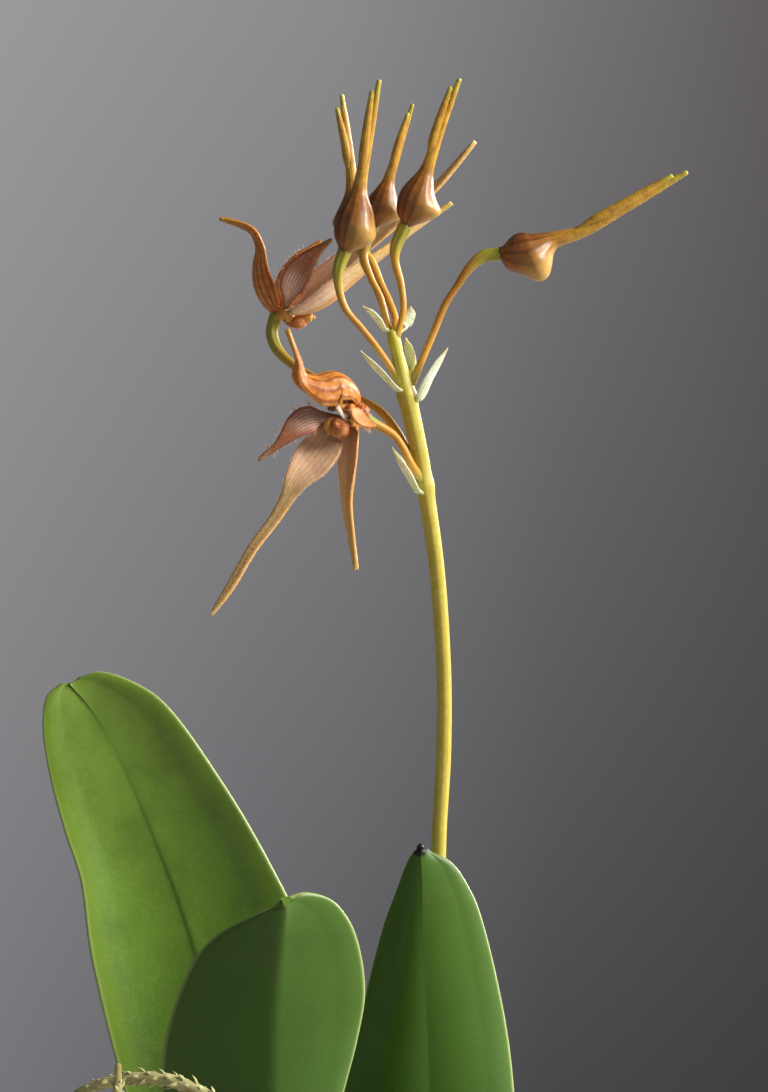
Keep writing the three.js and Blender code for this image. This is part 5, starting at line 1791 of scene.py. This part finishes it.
class OrchidMoss(bpy.types.PropertyGroup):
    spacing: length_of("Head spacing", "Least distance between two heads of moss", 1.95, 1.5, 6)
    leaflet_spacing: length_of(
        "Leaflet spacing", "Distance between two leaflets along a strand", 0.16, 0.05, 1
    )
    strands: bpy.props.IntProperty(
        name="Loose strands", description="Number of loose strands that lie on the moss",
        default=26, min=1, max=80,
    )
    fresh: shade_of("Fresh moss", "Colour of living moss", "#95a050")
    old: shade_of("Old moss", "Colour of moss that has dried or died", "#b49a62")


class OrchidPlant(bpy.types.PropertyGroup):
    upper_leaf: shade_of("Leaf, upper side", "Colour of a leaf's upper side", "#688b2c")
    lower_leaf: shade_of("Leaf, lower side", "Colour of a leaf's lower side", "#33590e")
    leaf_rim: shade_of("Leaf margin", "Colour of a leaf's thin edge", "#b9c684")
    scape: shade_of("Stalk", "Colour of the flower stalk", "#bba93e")
    pedicel: shade_of("Pedicels", "Colour of the thin stalks of the flowers", "#c58f34")
    bud: shade_of("Buds", "Colour of the round part of a bud", "#8c5224")
    tail: shade_of("Tails", "Colour of the long tails of the buds", "#bd9430")
    hood: shade_of("Upper sepals", "Colour of the upper sepals", "#cf822e")
    sepal: shade_of("Lateral sepals", "Colour of the two lateral sepals", "#edc8aa")
    petal: shade_of("Petals", "Colour of the clear middle of a petal", "#c8b0a2")
    petal_edge: shade_of("Petal edge", "Colour of the edge and tip of a petal", "#8f4a1e")
    petal_thickness: length_of(
        "Petal thickness", "Thickness of sepals and petals along their middle", 0.34, 0.1, 0.6
    )
    cilium: length_of(
        "Petal hairs", "Length of the hairs on the edges of the petals", 0.5, 0.05, 1.5
    )
    papilla: length_of(
        "Sepal papillae", "Length of the fine papillae on the edges of the sepals", 0.15, 0.05, 0.5
    )


class OrchidStage(bpy.types.PropertyGroup):
    floor: shade_of("Floor", "Colour of the plain floor", "#a9a8a6")
    key: power_of("Key light", "Power of the large light from above on the right", 8.2)
    edge: power_of("Edge light", "Power of the light behind the plant on the right", 5)
    fill: power_of("Fill light", "Power of the soft light from the left", 0.4)


# Operators, one for each piece or group of like pieces


class ORCHID_OT_turn_pot(bpy.types.Operator):
    """Turns the clay pot"""

    bl_idname = "orchid.turn_pot"
    bl_label = "Clay pot"

    def execute(self, context):
        pot = context.scene.orchid_pot
        clay = fired_terracotta(pot.clay)
        build("clay_pot", [pot_skin(pot.line_depth / MM)], [clay], "terracotta", "pot")
        return {"FINISHED"}


def dress_strand(name, slot, guide, green, seed, spacing):
    """Leaflets in a spiral round a strand of moss, whose line the guide holds."""
    shape = leaflet(name + "_leaflet")
    leaflets = grow(
        name, guide, spiral_tree(), piece=shape, material=green, spacing=spacing, turn=GOLDEN,
        seed=seed,
    )
    discard(shape, guide)
    stand_for(leaflets, slot)


class ORCHID_OT_lay_moss(bpy.types.Operator):
    """Fills the pot with moss and sets living heads and loose strands on it"""

    bl_idname = "orchid.lay_moss"
    bl_label = "Moss"

    def execute(self, context):
        moss = context.scene.orchid_moss
        green = sphagnum(moss.fresh, moss.old)
        build("moss_mound", [mound_skin()], [dead_moss()], "moss", "moss_bed")
        points, outs, sizes = head_branches(moss.spacing / MM, HEAD_SEED)
        guide = loose_points("moss_heads_guide", points, (), sizes, outs)
        shape = branch("moss_branch")
        heads = grow(
            "moss_heads", guide, outward_tree(), piece=shape, material=green, seed=HEAD_SEED
        )
        discard(shape, guide)
        stand_for(heads, "moss")
        self.lay_strands(moss, green)
        return {"FINISHED"}

    @staticmethod
    def lay_strands(moss, green):
        """Loose strands that wander over the moss and arch a little above it."""
        random = np.random.default_rng(LOOSE_SEED)
        points, edges, sizes, stems = [], [], [], []
        for _ in range(moss.strands):
            turn, far = random.uniform(0, TAU), LOOSE_START * math.sqrt(random.uniform(0.05, 1))
            at = np.array([far * math.cos(turn), far * math.sin(turn)])
            heading = random.uniform(0, TAU)
            long = random.uniform(5, 11)
            line = []
            for s in np.linspace(0, 1, 7):
                at = at + np.array([math.cos(heading), math.sin(heading)]) * long / 6
                heading += random.uniform(-0.4, 0.4)
                if np.hypot(*at) > LOOSE_REACH:
                    at = at * LOOSE_REACH / np.hypot(*at)
                up = 1.1 + random.uniform(0.6, 1.6) * math.sin(math.pi * s)
                line.append((*at, float(moss_top(*at)) + up))
            start = len(points)
            curve = Path(line).at(np.linspace(0, 1, LOOSE_POINTS))
            points += list(curve)
            # A fault that is known: with MM these leaflets come out too small to be seen
            sizes += list(np.linspace(0.8, 1.15, LOOSE_POINTS) * MM * 0.75)
            edges += [(start + i, start + i + 1) for i in range(LOOSE_POINTS - 1)]
            stems.append(tube(line, [0.14, 0.2, 0.16], 7, 20, caps=()))
        guide = loose_points("loose_strands_guide", points, edges, sizes)
        dress_strand("loose_strands", "moss", guide, green, 1, moss.leaflet_spacing * 1.6)
        build("loose_strand_stems", stems, [sphagnum_stem()], "moss")


class ORCHID_OT_stand_strands(bpy.types.Operator):
    """Grows the two strands of moss that stand in front of the left leaf"""

    bl_idname = "orchid.stand_strands"
    bl_label = "Standing moss strands"

    def execute(self, context):
        moss = context.scene.orchid_moss
        green = sphagnum(moss.fresh, moss.old)
        for name, strand in STRANDS.items():
            line = Path(above_moss(strand["path"]))
            shares = np.linspace(0.08, 0.995, STRAND_POINTS)
            sizes = along(strand["sizes"], shares) * rise(1.02, 0.9, shares)
            guide = loose_points(
                name + "_guide", line.at(shares), [(i, i + 1) for i in range(STRAND_POINTS - 1)],
                sizes * 0.95,
            )
            dress_strand(f"moss_leaflets_{name}", "strand", guide, green, 5, moss.leaflet_spacing)
            stem = tube(line, np.array(strand["sizes"]) * 0.55, 18, 160)
            materials = [sphagnum_stem()]
            build(f"moss_stem_{name}", [stem], materials, "strand", f"moss_strand_{name}")
        return {"FINISHED"}


class ORCHID_OT_grow_rhizome(bpy.types.Operator):
    """Grows the rhizome with its scales and roots"""

    bl_idname = "orchid.grow_rhizome"
    bl_label = "Rhizome"

    def execute(self, context):
        build("rhizome_and_roots", rhizome_skins(), [rhizome_skin()], "rhizome", "rhizome")
        return {"FINISHED"}


class ORCHID_OT_grow_pseudobulbs(bpy.types.Operator):
    """Grows the three pseudobulbs with the torn sheaths round them"""

    bl_idname = "orchid.grow_pseudobulbs"
    bl_label = "Pseudobulbs"

    def execute(self, context):
        materials = [pseudobulb_skin(), dry_sheath()]
        for seed, side in enumerate(BULB_FEET):
            skins = bulb_skins(side, seed + 3)
            build(f"bulb_{side}", skins, materials, "pseudobulb", f"pseudobulb_{side}")
        return {"FINISHED"}


class ORCHID_OT_grow_leaves(bpy.types.Operator):
    """Grows the three leaves"""

    bl_idname = "orchid.grow_leaves"
    bl_label = "Leaves"

    def execute(self, context):
        plant = context.scene.orchid_plant
        skin = leaf_skin(plant.upper_leaf, plant.lower_leaf, plant.leaf_rim)
        for side in LEAVES:
            build(f"blade_{side}", leaf_skins(side), [skin], "leaf", f"leaf_{side}")
        return {"FINISHED"}


class ORCHID_OT_grow_stalk(bpy.types.Operator):
    """Grows the flower stalk with its pedicels and ovaries"""

    bl_idname = "orchid.grow_stalk"
    bl_label = "Flower stalk"

    def execute(self, context):
        plant = context.scene.orchid_plant
        skin = stalk_skin(plant.scape, plant.pedicel)
        build("scape_and_pedicels", stalk_skins(), [skin], "stalk", "flower_stalk")
        return {"FINISHED"}


class ORCHID_OT_grow_bracts(bpy.types.Operator):
    """Grows a bract under each pedicel"""

    bl_idname = "orchid.grow_bracts"
    bl_label = "Bracts"

    def execute(self, context):
        skin = bract_membrane()
        for i, stations in enumerate(BRACTS, 1):
            build(f"scale_{i}", [bract_skin(stations)], [skin], "bract", f"bract_{i}")
        return {"FINISHED"}


class ORCHID_OT_grow_buds(bpy.types.Operator):
    """Grows the five closed buds"""

    bl_idname = "orchid.grow_buds"
    bl_label = "Buds"

    def execute(self, context):
        plant = context.scene.orchid_plant
        skin = bud_skin(plant.bud, plant.tail)
        for name, bud in BUDS.items():
            build(f"closed_bud_{name}", bud_skins(bud), [skin], "bud", f"bud_{name}")
        return {"FINISHED"}


class ORCHID_OT_open_flowers(bpy.types.Operator):
    """Opens the two flowers, with the hairs on their petals and sepals"""

    bl_idname = "orchid.open_flowers"
    bl_label = "Open flowers"

    def execute(self, context):
        plant = context.scene.orchid_plant
        petal = petal_skin(plant.petal, plant.petal_edge)
        sepal = sepal_skin(plant.sepal)
        finishes = {
            "dorsal_sepal": ("hood", hood_skin(plant.hood)), "left_petal": ("petal", petal),
            "right_petal": ("petal", petal), "long_sepal": ("sepal", sepal),
            "hanging_sepal": ("sepal", sepal), "lip": ("lip", lip_flesh()),
            "column": ("column", column_flesh()),
        }
        hairs = {
            "petal": (
                hair("#a85a2c"), hair_shape("petal_hair", plant.cilium / MM, 0.02), (0.2, 0.82), 46
            ),
            "sepal": (
                hair("#e6cdb8"), hair_shape("papilla", plant.papilla / MM, 0.028), (0.1, 0.6), 130
            ),
        }
        tree = outward_tree()
        thick = plant.petal_thickness / MM
        for flower, parts in FLOWERS.items():
            for name, (slot, material) in finishes.items():
                part = parts[name]
                if name == "lip":
                    skins = lip_skins(part)
                elif name == "column":
                    skins = column_skins(part, parts["heart"], parts["ovary_end"])
                else:
                    surface = flower_surface(part, parts["heart"])
                    marks = SHEET_MARKS.get(name, {})
                    skins = [
                        sheet(surface, lambda t, u: thick * (1 - 0.62 * u**4), 108, 38, **marks)
                    ]
                    if slot in hairs:
                        self.grow_hairs(f"{flower}_{name}_hairs", surface, slot, hairs[slot], tree)
                build(f"{flower}_{name}", skins, [material], slot, f"{flower}_flower_{name}")
        discard(*(shape for _, shape, _, _ in hairs.values()))
        return {"FINISHED"}

    @staticmethod
    def grow_hairs(name, surface, slot, hairs, tree):
        material, shape, reach, count = hairs
        seed = sum(map(ord, name))
        places, outs, sizes = fringe(surface, *reach, count, seed)
        guide = loose_points(name + "_guide", places, (), sizes, outs)
        piece = grow(name, guide, tree, piece=shape, material=material, seed=seed)
        discard(guide)
        stand_for(piece, slot)


class ORCHID_OT_set_stage(bpy.types.Operator):
    """Sets the floor, the background, the lights and the camera"""

    bl_idname = "orchid.set_stage"
    bl_label = "Floor, lights and camera"

    def execute(self, context):
        stage = context.scene.orchid_stage
        height = MOSS_LEVEL + PHOTO_TOP - PHOTO_HEIGHT / 2 / PIXELS_PER_MM
        middle = Vector((PHOTO_MIDDLE, 0, height)) * MM
        self.lay_floor(stage)
        self.paint_background(context.scene)
        lights = {  # place and size in metres, power, colour
            "key_light": ((0.54, -0.17, 0.44), 0.28, stage.key, "#fffcf8"),
            "edge_light": ((0.42, 0.34, 0.30), 0.20, stage.edge, "#fffbf6"),
            "fill_light": ((-0.55, -0.40, 0.22), 0.6, stage.fill, "#e9f0ff"),
        }
        for name, (place, size, power, shade) in lights.items():
            light = bpy.data.lights.new(name, "AREA")
            light.size = size
            light.energy = power
            light.color = colour(shade)[:3]
            lamp = new_object(name, light)
            lamp.location = place
            lamp.rotation_euler = (middle - lamp.location).to_track_quat("-Z", "Y").to_euler()
        camera = bpy.data.cameras.new("camera")
        camera.sensor_width = FILM_SIZE
        camera.lens = FILM_SIZE * CAMERA_DISTANCE / (PHOTO_HEIGHT / PIXELS_PER_MM)
        camera.clip_start = 0.01
        camera.clip_end = 20
        viewer = new_object("camera", camera)
        viewer.location = middle - Vector((0, CAMERA_DISTANCE * MM, 0))
        viewer.rotation_euler = (math.pi / 2, 0, 0)
        context.scene.camera = viewer
        context.scene.view_settings.view_transform = "Standard"
        return {"FINISHED"}

    @staticmethod
    def lay_floor(stage):
        """A plain pale floor: matt board, faintly uneven in tone."""
        turn = TAU * np.arange(FLOOR_SIDES) / FLOOR_SIDES
        rim = np.stack([np.cos(turn), np.sin(turn)], -1) * FLOOR_SIZE
        points = np.vstack([np.insert(rim, 2, z, axis=1) for z in (-0.3, -3)])
        faces = [tuple(range(FLOOR_SIDES)), tuple(range(2 * FLOOR_SIDES - 1, FLOOR_SIDES - 1, -1))]
        faces += [face[::-1] for face in hoop_faces((0, 1), FLOOR_SIDES)[0]]
        uv = [(0.0, 0.0) for face in faces for _ in face]
        material, tree, shader = new_material("matt board", {"Roughness": 0.85})
        place = add(tree, "ShaderNodeTexCoord").outputs["Object"]
        cloud = add(tree, "ShaderNodeTexNoise", {"Vector": place, "Scale": per(180), "Detail": 3.0})
        dress(tree, shader, layer(tree, tone(stage.floor), "#8f8d8a", cloud, 0.15))
        floor = make_object("floor", [Skin(points, faces, uv)], [material])
        floor.data.shade_flat()

    @staticmethod
    def paint_background(scene):
        """A soft grey backdrop, lit from the left behind the plant and plain all round."""
        world = bpy.data.worlds.new("grey backdrop")
        world.use_nodes = True
        tree = world.node_tree
        tree.nodes.clear()
        way = add(tree, "ShaderNodeTexCoord").outputs["Generated"]
        x, y, z = add(tree, "ShaderNodeSeparateXYZ", {0: way}).outputs
        # The camera sees only a few degrees of it, so its shades change over small shares of a turn
        aside = add(tree, "ShaderNodeMapRange", {0: x, 1: -0.045, 2: 0.045})
        up = add(tree, "ShaderNodeMapRange", {0: z, 1: -0.062, 2: 0.06})
        high = add(
            tree, "ShaderNodeValToRGB", {0: aside},
            {0.0: "#9b9b9d", 0.45: "#8a898b", 0.75: "#737173", 1.0: "#605c5d"},
        )
        low = add(
            tree, "ShaderNodeValToRGB", {0: aside},
            {0.0: "#77777b", 0.35: "#5f5f63", 0.7: "#474748", 1.0: "#3e3e3d"},
        )
        window = layer(tree, low, high, up)
        ahead = add(tree, "ShaderNodeMapRange", {0: y, 1: 0.93, 2: 0.99})
        shade = layer(tree, tone("#8e8e90"), window, ahead)
        # The camera sees the backdrop itself, and the plant gets only part of its light
        seen = add(tree, "ShaderNodeLightPath").outputs["Is Camera Ray"]
        strength = add(tree, "ShaderNodeMapRange", {0: seen, 3: BACKDROP_LIGHT, 4: 1.0})
        light = add(tree, "ShaderNodeBackground", {"Color": shade, "Strength": strength})
        add(tree, "ShaderNodeOutputWorld", {"Surface": light})
        scene.world = world


class ORCHID_PT_panel(bpy.types.Panel):
    bl_idname = "ORCHID_PT_panel"
    bl_label = "Potted orchid"
    bl_space_type = "VIEW_3D"
    bl_region_type = "UI"
    bl_category = "Orchid"

    def draw(self, context):
        for group in GROUPS:
            settings = getattr(context.scene, group)
            box = self.layout.box()
            for name in settings.__annotations__:
                box.prop(settings, name)
        for operator in OPERATORS:
            self.layout.operator(operator.bl_idname)


GROUPS = {
    "orchid_pot": OrchidPot, "orchid_moss": OrchidMoss, "orchid_plant": OrchidPlant,
    "orchid_stage": OrchidStage,
}
OPERATORS = (
    ORCHID_OT_turn_pot, ORCHID_OT_lay_moss, ORCHID_OT_stand_strands, ORCHID_OT_grow_rhizome,
    ORCHID_OT_grow_pseudobulbs, ORCHID_OT_grow_leaves, ORCHID_OT_grow_stalk, ORCHID_OT_grow_bracts,
    ORCHID_OT_grow_buds, ORCHID_OT_open_flowers, ORCHID_OT_set_stage,
)


def register():
    for piece in (*GROUPS.values(), *OPERATORS, ORCHID_PT_panel):
        bpy.utils.register_class(piece)
    for name, group in GROUPS.items():
        setattr(bpy.types.Scene, name, bpy.props.PointerProperty(type=group))


def unregister():
    for name in GROUPS:
        delattr(bpy.types.Scene, name)
    for piece in reversed((*GROUPS.values(), *OPERATORS, ORCHID_PT_panel)):
        bpy.utils.unregister_class(piece)


def main():
    register()
    for operator in OPERATORS:
        getattr(bpy.ops.orchid, operator.bl_idname.split(".")[1])()


if __name__ == "__main__":
    main()
